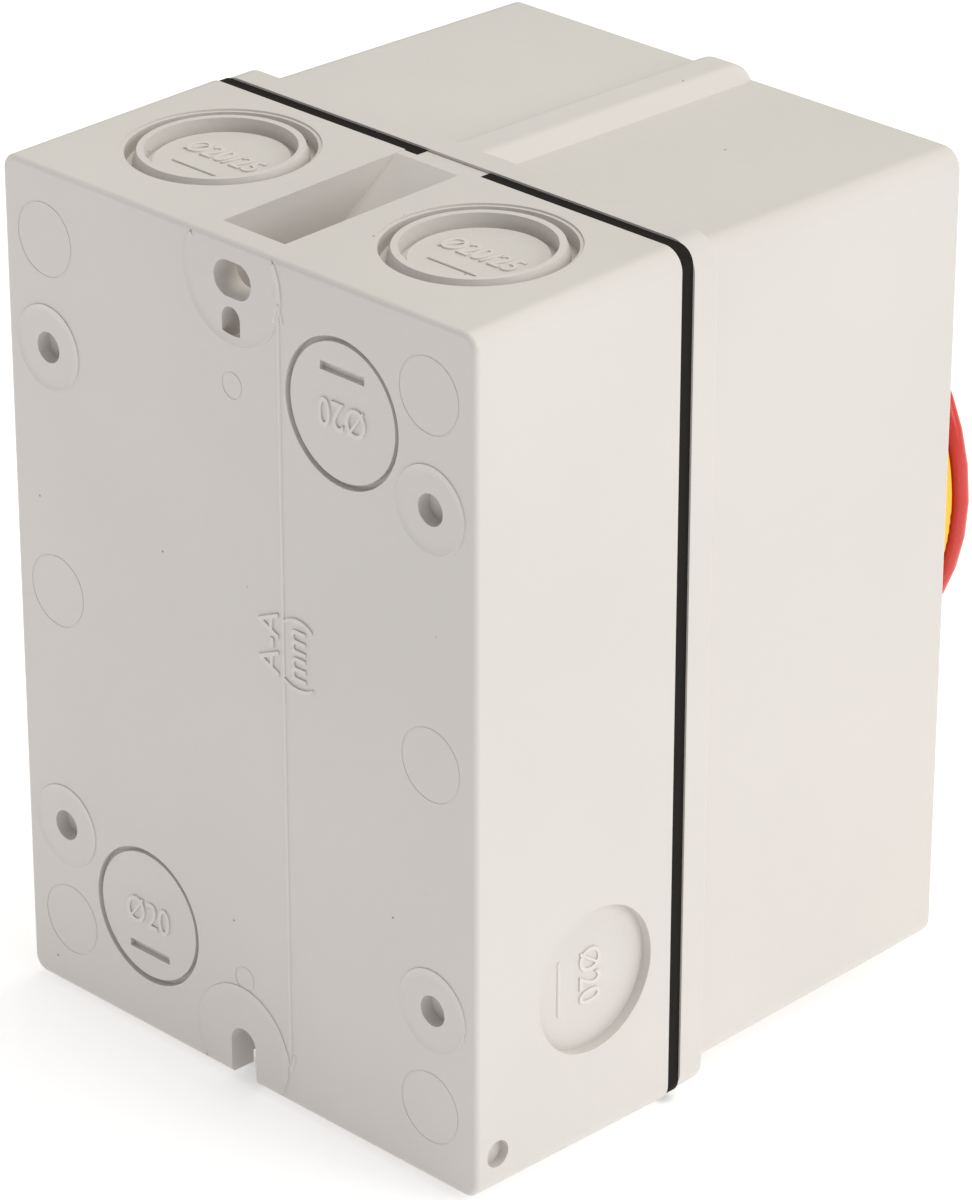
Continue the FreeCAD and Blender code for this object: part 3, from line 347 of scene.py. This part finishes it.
@dataclass(frozen=True)
class MouldedPlastic:
    """Injection-moulded plastic with a spark-eroded grain, faint clouding and stray dust specks."""

    name: str
    colour: RGB
    roughness: float = 0.5
    grain: float = 2600.0
    grain_depth: float = 0.000012
    clouding: float = 0.03
    specks: bool = False
    coat: float = 0.0

    def build(self) -> bpy.types.Material:
        """The finished material: fine and coarse noise for grain, slow noise for tone."""
        sheet = NodeSheet(self.name)
        fine = sheet.noise(self.grain, 3.0)
        coarse = sheet.noise(self.grain / 5.0, 2.0)
        slow = sheet.span(sheet.noise(22.0, 2.0), 0.3, 0.7)
        dark = tuple(c * (1.0 - self.clouding) for c in self.colour)
        light = tuple(min(1.0, c * (1.0 + self.clouding * 0.5)) for c in self.colour)
        tone = sheet.blend(slow, dark, light)
        if self.specks:
            tone = sheet.blend(self.speck_mask(sheet), tone, tuple(c * 0.3 for c in self.colour))
        rough = sheet.span(coarse, 0.3, 0.7, self.roughness - 0.05, self.roughness + 0.06)
        sheet.put(Base_Color=tone, Roughness=rough, Coat_Weight=self.coat, Coat_Roughness=0.2)
        sheet.put(IOR=1.5)
        sheet.relief(((coarse, self.grain_depth * 1.6), (fine, self.grain_depth)))
        return sheet.material

    @staticmethod
    def speck_mask(sheet: NodeSheet) -> bpy.types.NodeSocket:
        """Small dark dots: near the seed of a random cell, and only in the few cells drawn."""
        cells = sheet.add("ShaderNodeTexVoronoi")
        cells.inputs["Scale"].default_value = 500.0
        sheet.join(sheet.place, cells.inputs["Vector"])
        near = sheet.span(cells.outputs["Distance"], 0.06, 0.10, 1.0, 0.0)
        split = sheet.add("ShaderNodeSeparateColor")
        sheet.join(cells.outputs["Color"], split.inputs["Color"])
        chosen = sheet.span(split.outputs["Red"], 0.975, 0.976)
        both = sheet.add("ShaderNodeMath", operation="MULTIPLY")
        sheet.join(near, both.inputs[0])
        sheet.join(chosen, both.inputs[1])
        return both.outputs[0]


@dataclass(frozen=True)
class SealRubber:
    """Black sealing rubber, dull, with a fine extruded skin and a dusting of bloom."""

    name: str
    colour: RGB = (0.009, 0.007, 0.006)
    shine: float = 0.15

    def build(self) -> bpy.types.Material:
        """The finished material: soft bloom patches over black and a fine pitted bump."""
        sheet = NodeSheet(self.name)
        pits = sheet.noise(4200.0, 3.0)
        bloom = sheet.span(sheet.noise(160.0, 4.0), 0.5, 0.8)
        tone = sheet.blend(bloom, self.colour, tuple(c * 1.6 for c in self.colour))
        sheet.put(Base_Color=tone, Roughness=sheet.span(bloom, 0.0, 1.0, 0.7, 0.9))
        sheet.put(Specular_IOR_Level=self.shine)
        sheet.relief(((pits, 0.00001),))
        return sheet.material


@dataclass(frozen=True)
class PlatedMetal:
    """Metal with a plated or machined skin, streaked across one direction."""

    name: str
    colour: RGB
    roughness: float = 0.32
    streak: Sequence[float] = (1.0, 1.0, 1.0)
    tarnish: RGB = (0.35, 0.33, 0.3)

    def build(self) -> bpy.types.Material:
        """The finished material: streaky roughness and bump, with a little tarnish in patches."""
        sheet = NodeSheet(self.name)
        lines = sheet.noise(1500.0, 4.0, self.streak)
        patches = sheet.span(sheet.noise(140.0, 3.0), 0.55, 0.9)
        tone = sheet.blend(patches, self.colour, self.tarnish)
        rough = sheet.span(lines, 0.25, 0.75, self.roughness - 0.1, self.roughness + 0.12)
        sheet.put(Base_Color=tone, Metallic=1.0, Roughness=rough)
        sheet.relief(((lines, 0.000006),))
        return sheet.material


class Finish(Enum):
    """The named finishes of the switch."""

    CASE = MouldedPlastic("case_plastic", (0.655, 0.622, 0.594), 0.46, specks=True)
    MARK = MouldedPlastic("raised_mark_plastic", (0.690, 0.657, 0.628), 0.38, clouding=0.01)
    KNOB = MouldedPlastic("knob_red_plastic", (0.62, 0.028, 0.016), 0.30, 1800.0, 0.000006, 0.05, coat=0.25)
    COLLAR = MouldedPlastic("collar_yellow_plastic", (0.93, 0.56, 0.018), 0.33, 1800.0, 0.000006, 0.04,
                            coat=0.2)
    HOUSING = MouldedPlastic("switch_black_plastic", (0.022, 0.023, 0.025), 0.48, 2200.0)
    DECK = MouldedPlastic("switch_grey_plastic", (0.115, 0.12, 0.125), 0.5, 2200.0)
    ROTOR = MouldedPlastic("rotor_white_plastic", (0.70, 0.68, 0.62), 0.42, 2000.0)
    POINTER = MouldedPlastic("pointer_white_plastic", (0.86, 0.86, 0.84), 0.35, 2000.0)
    SEAL = SealRubber("seal_rubber")
    ZINC = PlatedMetal("zinc_plate", (0.62, 0.63, 0.64), 0.3, (1.0, 0.15, 1.0))
    SPRING = PlatedMetal("spring_wire", (0.46, 0.46, 0.47), 0.26)
    BRASS = PlatedMetal("turned_brass", (0.78, 0.55, 0.22), 0.28, (0.2, 1.0, 0.2), (0.45, 0.3, 0.12))
    COPPER = PlatedMetal("copper_strip", (0.75, 0.36, 0.22), 0.3, (1.0, 1.0, 0.15), (0.42, 0.2, 0.12))

    def material(self) -> bpy.types.Material:
        """The finish's material, built once."""
        return bpy.data.materials.get(self.value.name) or self.value.build()


def dress(target: bpy.types.Object, finish: Finish) -> bpy.types.Object:
    """Give a whole object one finish.

    Args:
        target: The object.
        finish: The finish.

    Returns:
        The same object.
    """
    slots = target.data.materials
    if len(slots) == 0:
        slots.append(finish.material())
    for index in range(len(slots)):
        slots[index] = finish.material()
    return target


# ---------------------------------------------------------------- the frame
@dataclass
class CadFrame:
    """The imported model: its nodes, and the finish of each that stays visible."""

    nodes: dict[str, bpy.types.Object]

    FINISHES = {
        Finish.CASE: ("enclosure_base", "enclosure_lid"),
        Finish.SEAL: ("lid_gasket", "lid_screw_seals", "collar_seal", "stem_seal"),
        Finish.KNOB: ("handle_knob", "screw_cap"),
        Finish.COLLAR: ("handle_collar", "lock_slider"),
        Finish.HOUSING: ("switch_base_plate", "latch_housing", "latch_cover", "stem_bush", "handle_driver"),
        Finish.DECK: ("contact_chamber_rear", "contact_chamber_front"),
        Finish.ROTOR: ("cam_rear", "cam_front", "star_wheel", "plunger_rear_left", "plunger_rear_right",
                       "plunger_front_left", "plunger_front_right"),
        Finish.POINTER: ("pointer_inlay",),
        Finish.ZINC: ("earth_clamp_plates", "earth_terminal_screws", "switch_fixing_screws", "tie_screws",
                      "terminal_screws", "terminal_clamps", "latch_rollers", "drive_shaft", "lid_screws",
                      "collar_screws", "handle_screw"),
        Finish.SPRING: ("latch_springs", "contact_springs", "lock_spring", "shaft_clip", "stem_clip"),
        Finish.BRASS: ("lid_screw_inserts", "earth_terminal_bar"),
        Finish.COPPER: ("fixed_contacts_rear", "fixed_contacts_front", "contact_bridge_rear_left",
                        "contact_bridge_rear_right", "contact_bridge_front_left",
                        "contact_bridge_front_right"),
    }

    def dress_all(self) -> None:
        """Give every CAD node its finish."""
        for finish, names in self.FINISHES.items():
            for name in names:
                dress(self.nodes[name], finish)
            LOG.info("finish %s on %d nodes", finish.value.name, len(names))


# ---------------------------------------------------------------- moulded marks
class Way(Enum):
    """Directions that a flat mark can be laid in: its right, its up and its outward direction."""

    REAR = ((-1, 0, 0), (0, 0, 1), (0, 1, 0))
    REAR_TURNED = ((1, 0, 0), (0, 0, -1), (0, 1, 0))
    REAR_READING_UP = ((0, 0, 1), (1, 0, 0), (0, 1, 0))
    TOP = ((-1, 0, 0), (0, -1, 0), (0, 0, 1))
    BOTTOM = ((-1, 0, 0), (0, 1, 0), (0, 0, -1))
    LEFT_READING_DOWN = ((0, 0, -1), (0, -1, 0), (-1, 0, 0))
    RIGHT_READING_UP = ((0, 0, 1), (0, -1, 0), (1, 0, 0))
    FRONT = ((1, 0, 0), (0, 0, 1), (0, -1, 0))

    def matrix(self, centre: Sequence[float]) -> Matrix:
        """Transform from a flat drawing in XY to this way at a centre."""
        right, up, out = (Vector(v) for v in self.value)
        turned = Matrix((right, up, out)).transposed().to_4x4()
        return Matrix.Translation(Vector(centre)) @ turned


@dataclass
class MouldedMarks:
    """Plain raised size numerals, slot bars and the fixing-distance line of the base."""

    rise: float = 0.18 * MM
    soft_edge: float = 0.04 * MM
    foot: float = 0.05 * MM
    capital_share: float = 0.7

    def lettering(self, name: str, text: str, height: float, way: Way, centre: Sequence[float],
                  width: float | None = None) -> bpy.types.Object:
        """Raised characters, centred on a point.

        Args:
            name: Name of the piece.
            text: The characters.
            height: Height of a capital, in metres.
            way: How the text is laid.
            centre: Centre of the text on the surface.
            width: Width to stretch the text to, if any.

        Returns:
            The linked object.
        """
        curve = bpy.data.curves.new(name, "FONT")
        curve.body = text
        curve.align_x, curve.align_y = "CENTER", "CENTER"
        curve.size = height / self.capital_share
        curve.extrude = self.rise
        curve.bevel_depth = self.soft_edge
        curve.resolution_u = 4
        flat = bpy.data.objects.new(name, curve)
        bpy.context.scene.collection.objects.link(flat)
        graph = bpy.context.evaluated_depsgraph_get()
        data = bpy.data.meshes.new_from_object(flat.evaluated_get(graph))
        bpy.data.objects.remove(flat)
        co = np.empty(len(data.vertices) * 3)
        data.vertices.foreach_get("co", co)
        co = co.reshape(-1, 3)
        low, high = co.min(axis=0), co.max(axis=0)
        co[:, :2] -= (low[:2] + high[:2]) / 2
        if width:
            co[:, 0] *= width / (high[0] - low[0])
        data.vertices.foreach_set("co", co.ravel())
        data.transform(way.matrix(centre))
        piece = bpy.data.objects.new(name, data)
        bpy.context.scene.collection.objects.link(piece)
        return dress(piece, Finish.MARK)

    def bar(self, name: str, length: float, width: float, way: Way,
            centre: Sequence[float]) -> bpy.types.Object:
        """A low ridge with a rounded top.

        The section is a half ellipse of the bar's width and the marks' rise, carried along the
        length; both ends shrink to nothing over one width.

        Args:
            name: Name of the piece.
            length: Length in metres.
            width: Width in metres.
            way: How the bar is laid, along its right direction.
            centre: Centre on the surface.

        Returns:
            The linked object.
        """
        along = np.linspace(-0.5, 0.5, 41)[:, None] * length
        end = np.clip((length / 2 - np.abs(along)) / width, 0.0, 1.0)
        swell = np.sqrt(1.0 - (1.0 - end) ** 2) * 0.98 + 0.02
        a = np.linspace(0.0, math.pi, 9)[None, :]
        across, up = swell * np.cos(a) * width / 2, swell * np.sin(a) * self.rise
        grid = np.stack([along + 0 * a, across, up], axis=-1)
        foot = grid[:, ::8] * np.array([1, 1, 0]) - np.array([0, 0, self.soft_edge])
        ring = np.concatenate([foot[:, :1], grid, foot[:, 1:]], axis=1)
        points, faces = capped_grid(ring)
        piece = face_outwards(mesh_piece(name, points, faces, 50.0))
        piece.data.transform(way.matrix(centre))
        return dress(piece, Finish.MARK)

    def raised_rim(self, name: str, radius: float, width: float, rise: float, centre: tuple[float, float],
                   start: float = 0.0, end: float = 360.0) -> bpy.types.Object:
        """The edge of a slightly domed pad on the rear face, round a circle or part of one.

        The section steps up to the full rise at the radius, then falls towards the middle of the
        pad as the square of the distance and meets the wall after the width.

        Args:
            name: Name of the piece.
            radius: Outer radius.
            width: Distance over which the pad falls back to the wall.
            rise: Height at the edge.
            centre: X and Z of the circle.
            start: First angle in degrees.
            end: Last angle in degrees.

        Returns:
            The linked object.
        """
        full = end - start >= 360.0
        step = 0.06 * MM
        t = np.radians(np.linspace(start, end, 97, endpoint=not full))[:, None]
        fall = np.linspace(0.0, 1.0, 6)
        inward = np.concatenate([[0.0, 0.0], step + fall * (width - step), [width]])
        out = np.concatenate([[-self.foot, 0.6 * rise], rise * (1.0 - fall) ** 2, [-self.foot]])
        r = radius - inward[None, :]
        x, z = centre[0] + r * np.cos(t), centre[1] + r * np.sin(t)
        grid = np.stack([x, out[None, :] + 0 * t, z], axis=-1)
        if full:
            points, faces = grid.reshape(-1, 3), grid_faces(*grid.shape[:2], True, True)
        else:
            points, faces = capped_grid(grid)
        return dress(face_outwards(mesh_piece(name, points, faces, 50.0)), Finish.CASE)


@dataclass
class CaseBase:
    """The rear half of the case and its markings."""

    marks: MouldedMarks
    knockout_x: tuple[float, float] = (-19.7 * MM, 19.0 * MM)
    knockout_z: tuple[float, float] = (43.0 * MM, -42.8 * MM)
    disc_sink: float = 0.15 * MM
    line_x: float = -8.6 * MM
    line_top: float = 54.4 * MM
    line_bottom: float = -55.3 * MM
    entry_x: float = 23.3 * MM
    entry_depth: float = 20.2 * MM
    entry_z: float = 60.575 * MM
    entry_sink: float = 1.6 * MM
    boss_at: float = 35.1 * MM
    boss_radius: float = 5.95 * MM
    slot_at: float = 55.0 * MM
    slot_radius: float = 8.8 * MM
    slot_to_edge: float = 4.4 * MM
    upper_slot_x: float = -0.4 * MM
    lower_slot_x: float = 0.6 * MM
    side_x: float = 43.04 * MM
    side_depth: float = 21.6 * MM
    side_z: float = 36.1 * MM
    side_sink: float = 1.5 * MM

    def build(self) -> None:
        """Add the marks of the rear, top, bottom and side walls."""
        made = self.rear_marks() + self.rear_rings() + self.distance_line() + self.wall_marks()
        for piece in made:
            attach(piece, "base")
        LOG.info("case base: %d moulded marks", len(made))

    def rear_rings(self) -> list[bpy.types.Object]:
        """Edges of the pads round the four fixing bosses and round the two wall slots."""
        width, rise = 1.3 * MM, 0.15 * MM
        boss = self.boss_at
        made = []
        for name, x, z in (("upper_left", -boss, boss), ("upper_right", boss, boss),
                           ("lower_left", -boss, -boss), ("lower_right", boss, -boss)):
            made.append(self.marks.raised_rim(f"boss_rim_{name}", self.boss_radius, width, rise, (x, z)))
        clip = math.degrees(math.asin(self.slot_to_edge / self.slot_radius))
        upper, lower = (self.upper_slot_x, self.slot_at), (self.lower_slot_x, -self.slot_at)
        made.append(self.marks.raised_rim("slot_rim_upper", self.slot_radius, width, rise, upper,
                                          180.0 - clip, 360.0 + clip))
        made.append(self.marks.raised_rim("slot_rim_lower", self.slot_radius, width, rise, lower,
                                          -clip, 180.0 + clip))
        return made

    def rear_marks(self) -> list[bpy.types.Object]:
        """Size numerals of the two rear knockouts and the fixing distance."""
        y = -self.disc_sink
        upper = (self.knockout_x[0], y, self.knockout_z[0] - 0.7 * MM)
        lower = (self.knockout_x[1], y, self.knockout_z[1] + 0.2 * MM)
        return [
            self.marks.lettering("mark_rear_upper", "Ø20", 3.9 * MM, Way.REAR_TURNED, upper, 8.4 * MM),
            self.marks.lettering("mark_rear_lower", "Ø20", 3.9 * MM, Way.REAR, lower, 8.4 * MM),
            self.marks.lettering("mark_distance", "A-A", 3.7 * MM, Way.REAR_READING_UP,
                                 (-5.9 * MM, 0.0, 7.2 * MM), 9.0 * MM),
            self.marks.lettering("mark_unit", "(mm)", 3.9 * MM, Way.REAR_READING_UP,
                                 (-11.4 * MM, 0.0, 6.9 * MM), 10.4 * MM),
        ]

    def distance_line(self) -> list[bpy.types.Object]:
        """The thin raised line between the wall slots, with an arrow tip at each end."""
        length = self.line_top - self.line_bottom
        middle = (self.line_top + self.line_bottom) / 2
        made = [self.marks.bar("distance_line", length, 0.5 * MM, Way.REAR_READING_UP,
                               (self.line_x, 0.0, middle))]
        for name, tip, sign in (("upper", self.line_top, -1), ("lower", self.line_bottom, 1)):
            for side in (-1, 1):
                lean = Way.REAR_READING_UP.matrix((0, 0, 0))
                edge = "left" if side < 0 else "right"
                barb = self.marks.bar(f"arrow_{name}_{edge}", 3.0 * MM, 0.45 * MM,
                                      Way.REAR_READING_UP, (0, 0, 0))
                barb.data.transform(lean.inverted())
                barb.data.transform(Matrix.Rotation(side * math.radians(17.0), 4, "Z"))
                barb.data.transform(lean)
                shift = (self.line_x + sign * side * 0.43 * MM, 0.0, tip + sign * 1.5 * MM)
                barb.data.transform(Matrix.Translation(shift))
                made.append(barb)
        return made

    def wall_marks(self) -> list[bpy.types.Object]:
        """Size numerals and slot lines of the cable entries in the walls."""
        made = []
        for side, sx in (("left", -1), ("right", 1)):
            for wall, way, sz in (("top", Way.TOP, 1), ("bottom", Way.BOTTOM, -1)):
                z = sz * (self.entry_z - self.entry_sink)
                centre = (sx * self.entry_x, -self.entry_depth - 0.6 * MM, z)
                made.append(self.marks.lettering(f"mark_{wall}_{side}", "Ø20/25", 3.6 * MM, way, centre,
                                                 12.6 * MM))
                below = (sx * self.entry_x, -self.entry_depth + 4.6 * MM, z)
                made.append(self.marks.bar(f"slot_line_{wall}_{side}", 8.6 * MM, 0.45 * MM, way, below))
        for side, way, sign in (("left", Way.LEFT_READING_DOWN, -1), ("right", Way.RIGHT_READING_UP, 1)):
            x = sign * (self.side_x - self.side_sink)
            z = sign * self.side_z
            made.append(self.marks.lettering(f"mark_side_{side}", "Ø20", 3.9 * MM, way,
                                             (x, -self.side_depth - 0.4 * MM, z), 8.2 * MM))
            made.append(self.marks.bar(f"slot_line_side_{side}", 8.4 * MM, 0.6 * MM, way,
                                       (x, -self.side_depth + 5.3 * MM, z)))
        return made


@dataclass
class CaseLid:
    """The front half of the case and its position numerals."""

    marks: MouldedMarks
    front: float = 91.0 * MM
    band_front: float = 92.75 * MM
    dial_radius: float = 37.3 * MM

    def build(self) -> None:
        """Add the numerals 0 and 1 beside the handle."""
        at_top = (0.0, -self.band_front, self.dial_radius)
        at_right = (self.dial_radius - 0.4 * MM, -self.front, 0.0)
        off = self.marks.lettering("dial_0", "0", 3.8 * MM, Way.FRONT, at_top)
        on = self.marks.lettering("dial_1", "1", 4.4 * MM, Way.FRONT, at_right)
        for piece in (off, on):
            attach(dress(piece, Finish.HOUSING), "lid")
        LOG.info("case lid: position numerals")


# ---------------------------------------------------------------- handle
class Ring(Enum):
    """Outlines of the handle's rings: a circle, or the grip's long outline moved outwards."""

    CIRCLE = 1
    GRIP = 2


@dataclass
class TurnHandle:
    """The red handle: a disc with a long upright grip that flares into it."""

    half_length: float = 29.0 * MM
    half_width: float = 6.5 * MM
    disc: float = 32.4 * MM
    disc_back: float = 104.3 * MM
    disc_front: float = 107.0 * MM
    top: float = 121.0 * MM

    def ring(self, kind: Ring, size: float) -> np.ndarray:
        """Points (x, z) of one ring.

        A grip ring is a long outline with round ends, its half width plus the size, never beyond
        the disc's flat front. A circle ring has the size as radius and the same bearings.

        Args:
            kind: Circle or grip outline.
            size: Radius of the circle, or the outward shift of the grip's outline.

        Returns:
            Array of points.
        """
        outline = rounded_outline(self.half_width, self.half_length, self.half_width - 0.02 * MM, 14, 40)
        bearing = np.arctan2(outline[:, 1], outline[:, 0])
        if kind is Ring.CIRCLE:
            return np.stack([size * np.cos(bearing), size * np.sin(bearing)], axis=1)
        moved = outline[:, :2] + size * outline[:, 2:]
        far = np.linalg.norm(moved, axis=1, keepdims=True)
        return moved * np.minimum(1.0, (self.disc - 1.5 * MM) / far)

    def profile(self) -> list[tuple[Ring, float, float]]:
        """Rings from the screw hole over the grip and the disc to the skirt and the hub behind it.

        The grip's top edge is a quarter turn of 1.8 mm, its flanks lean outwards, and the foot is
        a concave quarter turn of 3 mm; the disc's rim is a half turn of its thickness.

        Returns:
            Kind, size and depth of each ring.
        """
        rows = [(Ring.CIRCLE, 2.1, 104.0), (Ring.CIRCLE, 2.1, 113.0), (Ring.CIRCLE, 4.2, 113.0),
                (Ring.CIRCLE, 4.2, 120.85), (Ring.CIRCLE, 4.35, 121.0), (Ring.GRIP, -2.1, 121.0)]
        turn = np.linspace(0.0, math.pi / 2, 7)
        rows += [(Ring.GRIP, -1.9 + 1.8 * math.sin(a), 119.2 + 1.8 * math.cos(a)) for a in turn]
        rows += [(Ring.GRIP, 0.35, 115.0), (Ring.GRIP, 0.75, 110.6)]
        rows += [(Ring.GRIP, 0.95 + 2.9 * (1 - math.cos(a)), 110.0 - 3.0 * math.sin(a)) for a in turn]
        rim, thick = self.disc / MM, (self.disc_front - self.disc_back) / MM
        half = thick / 2
        round_rim = np.linspace(0.0, math.pi, 11)
        middle = (self.disc_front + self.disc_back) / 2 / MM
        rows += [(Ring.CIRCLE, rim - half + half * math.sin(a), middle + half * math.cos(a))
                 for a in round_rim]
        rows += [(Ring.CIRCLE, 27.9, 104.3), (Ring.CIRCLE, 27.9, 97.0), (Ring.CIRCLE, 25.9, 97.0),
                 (Ring.CIRCLE, 25.9, 104.3), (Ring.CIRCLE, 12.0, 104.3), (Ring.CIRCLE, 12.0, 95.0),
                 (Ring.CIRCLE, 8.83, 95.0), (Ring.CIRCLE, 8.83, 104.0)]
        return [(kind, size * MM, depth * MM) for kind, size, depth in rows]

    def bar_cutter(self, name: str, half_x: float, low: float, high: float, back: float,
                   front: float) -> bpy.types.Object:
        """A closed bar with soft corners that is cut out of the grip.

        Args:
            name: Name of the cutter.
            half_x: Half its width.
            low: Lowest Z.
            high: Highest Z.
            back: Smallest depth.
            front: Largest depth.

        Returns:
            The cutter.
        """
        outline = rounded_outline(half_x, (high - low) / 2, 0.5 * MM, 4)[:, :2]
        x, z = outline[:, 0], outline[:, 1] + (high + low) / 2
        grid = np.stack([np.stack([x, np.full_like(x, -d), z], axis=1) for d in (back, front)])
        return face_outwards(mesh_piece(name, *capped_grid(grid)))

    def build(self) -> None:
        """Sculpt the handle, cut its slots and let it stand for the CAD handle."""
        rows = [(self.ring(kind, size), depth) for kind, size, depth in self.profile()]
        grid = np.stack([np.stack([xz[:, 0], np.full(len(xz), -d), xz[:, 1]], axis=1)
                         for xz, d in rows])
        faces = grid_faces(grid.shape[0], grid.shape[1], True, True)
        knob = face_outwards(mesh_piece("sculpted_handle", grid, faces, 32.0))
        slide = self.bar_cutter("slide_room", 2.8 * MM, -34.0 * MM, -5.2 * MM, 107.7 * MM, 118.7 * MM)
        groove = self.bar_cutter("pointer_room", 1.35 * MM, 10.95 * MM, 26.05 * MM, 120.4 * MM, 122.0 * MM)
        cut_away(knob, (slide, groove))
        dress(knob, Finish.KNOB)
        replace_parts(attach(knob, "handle"), "handle_knob")
        LOG.info("handle: %d faces", len(knob.data.polygons))


# ---------------------------------------------------------------- studio
@dataclass
class Studio:
    """Camera, lights, floor and world."""

    azimuth: float = 224.758
    elevation: float = 26.09
    roll: float = 0.03
    distance: float = 721.57 * MM
    lens: float = 200.38
    target_y: float = -45.0 * MM
    shift_right: float = -0.01 * MM
    shift_up: float = -4.28 * MM
    sensor: float = 36.0

    def axes(self) -> tuple[Vector, Vector, Vector]:
        """The camera's right, up and backward directions."""
        a, e, r = (math.radians(v) for v in (self.azimuth, self.elevation, self.roll))
        back = Vector((math.sin(a) * math.cos(e), -math.cos(a) * math.cos(e), math.sin(e)))
        level = Vector((math.cos(a), math.sin(a), 0.0))
        upright = back.cross(level)
        right = level * math.cos(r) + upright * math.sin(r)
        up = upright * math.cos(r) - level * math.sin(r)
        return right, up, back

    def camera(self) -> None:
        """Place the camera on the line through its target."""
        right, up, back = self.axes()
        target = Vector((0.0, self.target_y, 0.0)) + right * self.shift_right + up * self.shift_up
        data = bpy.data.cameras.new("camera")
        data.sensor_fit = "HORIZONTAL"
        data.sensor_width = self.sensor
        data.lens = self.lens
        data.clip_start, data.clip_end = 0.05, 20.0
        holder = bpy.data.objects.new("camera", data)
        bpy.context.scene.collection.objects.link(holder)
        turned = Matrix((right, up, back)).transposed().to_4x4()
        holder.matrix_world = Matrix.Translation(target + back * self.distance) @ turned
        bpy.context.scene.camera = holder

    def area(self, name: str, place: Sequence[float], size: float, power: float,
             colour: RGB = (1.0, 1.0, 1.0), aim: Sequence[float] = (0.0, -0.05, 0.0)) -> None:
        """A soft square light that looks at a point.

        Args:
            name: Name of the light.
            place: Where it stands.
            size: Side of the square.
            power: Watts.
            colour: Tint of the light.
            aim: The point that it looks at.
        """
        data = bpy.data.lights.new(name, "AREA")
        data.size, data.energy, data.color = size, power, colour
        holder = bpy.data.objects.new(name, data)
        holder.location = place
        holder.rotation_euler = (Vector(aim) - Vector(place)).to_track_quat("-Z", "Y").to_euler()
        bpy.context.scene.collection.objects.link(holder)

    def build(self) -> None:
        """Camera, lights, white world and a pale floor under the case."""
        self.camera()
        self.area("rear_soft", (0.30, 0.13, 0.10), 0.2, 0.15, (0.98, 0.95, 1.0), (0.0, 0.0, 0.0))
        self.area("side_soft", (-1.5, -0.35, 0.75), 1.0, 9.8, (1.0, 0.995, 0.985))
        self.area("top_soft", (-0.15, -0.45, 1.6), 1.2, 14.0, (1.0, 0.985, 0.88))
        self.area("front_fill", (-0.6, -1.6, 0.6), 1.0, 2.0)
        world = bpy.data.worlds.new("studio_world")
        world.use_nodes = True
        world.node_tree.nodes["Background"].inputs["Color"].default_value = (0.995, 0.995, 1.0, 1.0)
        world.node_tree.nodes["Background"].inputs["Strength"].default_value = 0.42
        bpy.context.scene.world = world
        bpy.context.scene.view_settings.view_transform = "Standard"
        self.floor()

    def floor(self) -> None:
        """A wide pale floor at the case's lowest point."""
        reach, z = 6.0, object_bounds()[0].z - 0.0002
        points = np.array([(-reach, -reach, z), (reach, -reach, z), (reach, reach, z), (-reach, reach, z)])
        ground = mesh_piece("studio_floor", points, [(0, 1, 2, 3)])
        sheet = NodeSheet("floor_white")
        mottled = sheet.span(sheet.noise(3.0), 0.3, 0.7, 0.55, 0.6)
        sheet.put(Base_Color=rgba((0.93, 0.93, 0.93)), Roughness=mottled)
        sheet.put(Emission_Color=rgba((1.0, 1.0, 1.0)), Emission_Strength=0.36)
        ground.data.materials.append(sheet.material)
        ground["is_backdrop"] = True


def main() -> None:
    """Build the studio and each sub-assembly in order."""
    logging.basicConfig(level=logging.INFO, format="%(name)s: %(message)s")
    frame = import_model()
    Studio().build()
    CadFrame(frame["nodes"]).dress_all()
    marks = MouldedMarks()
    CaseBase(marks).build()
    CaseLid(marks).build()
    TurnHandle().build()


if __name__ == "__main__":
    main()
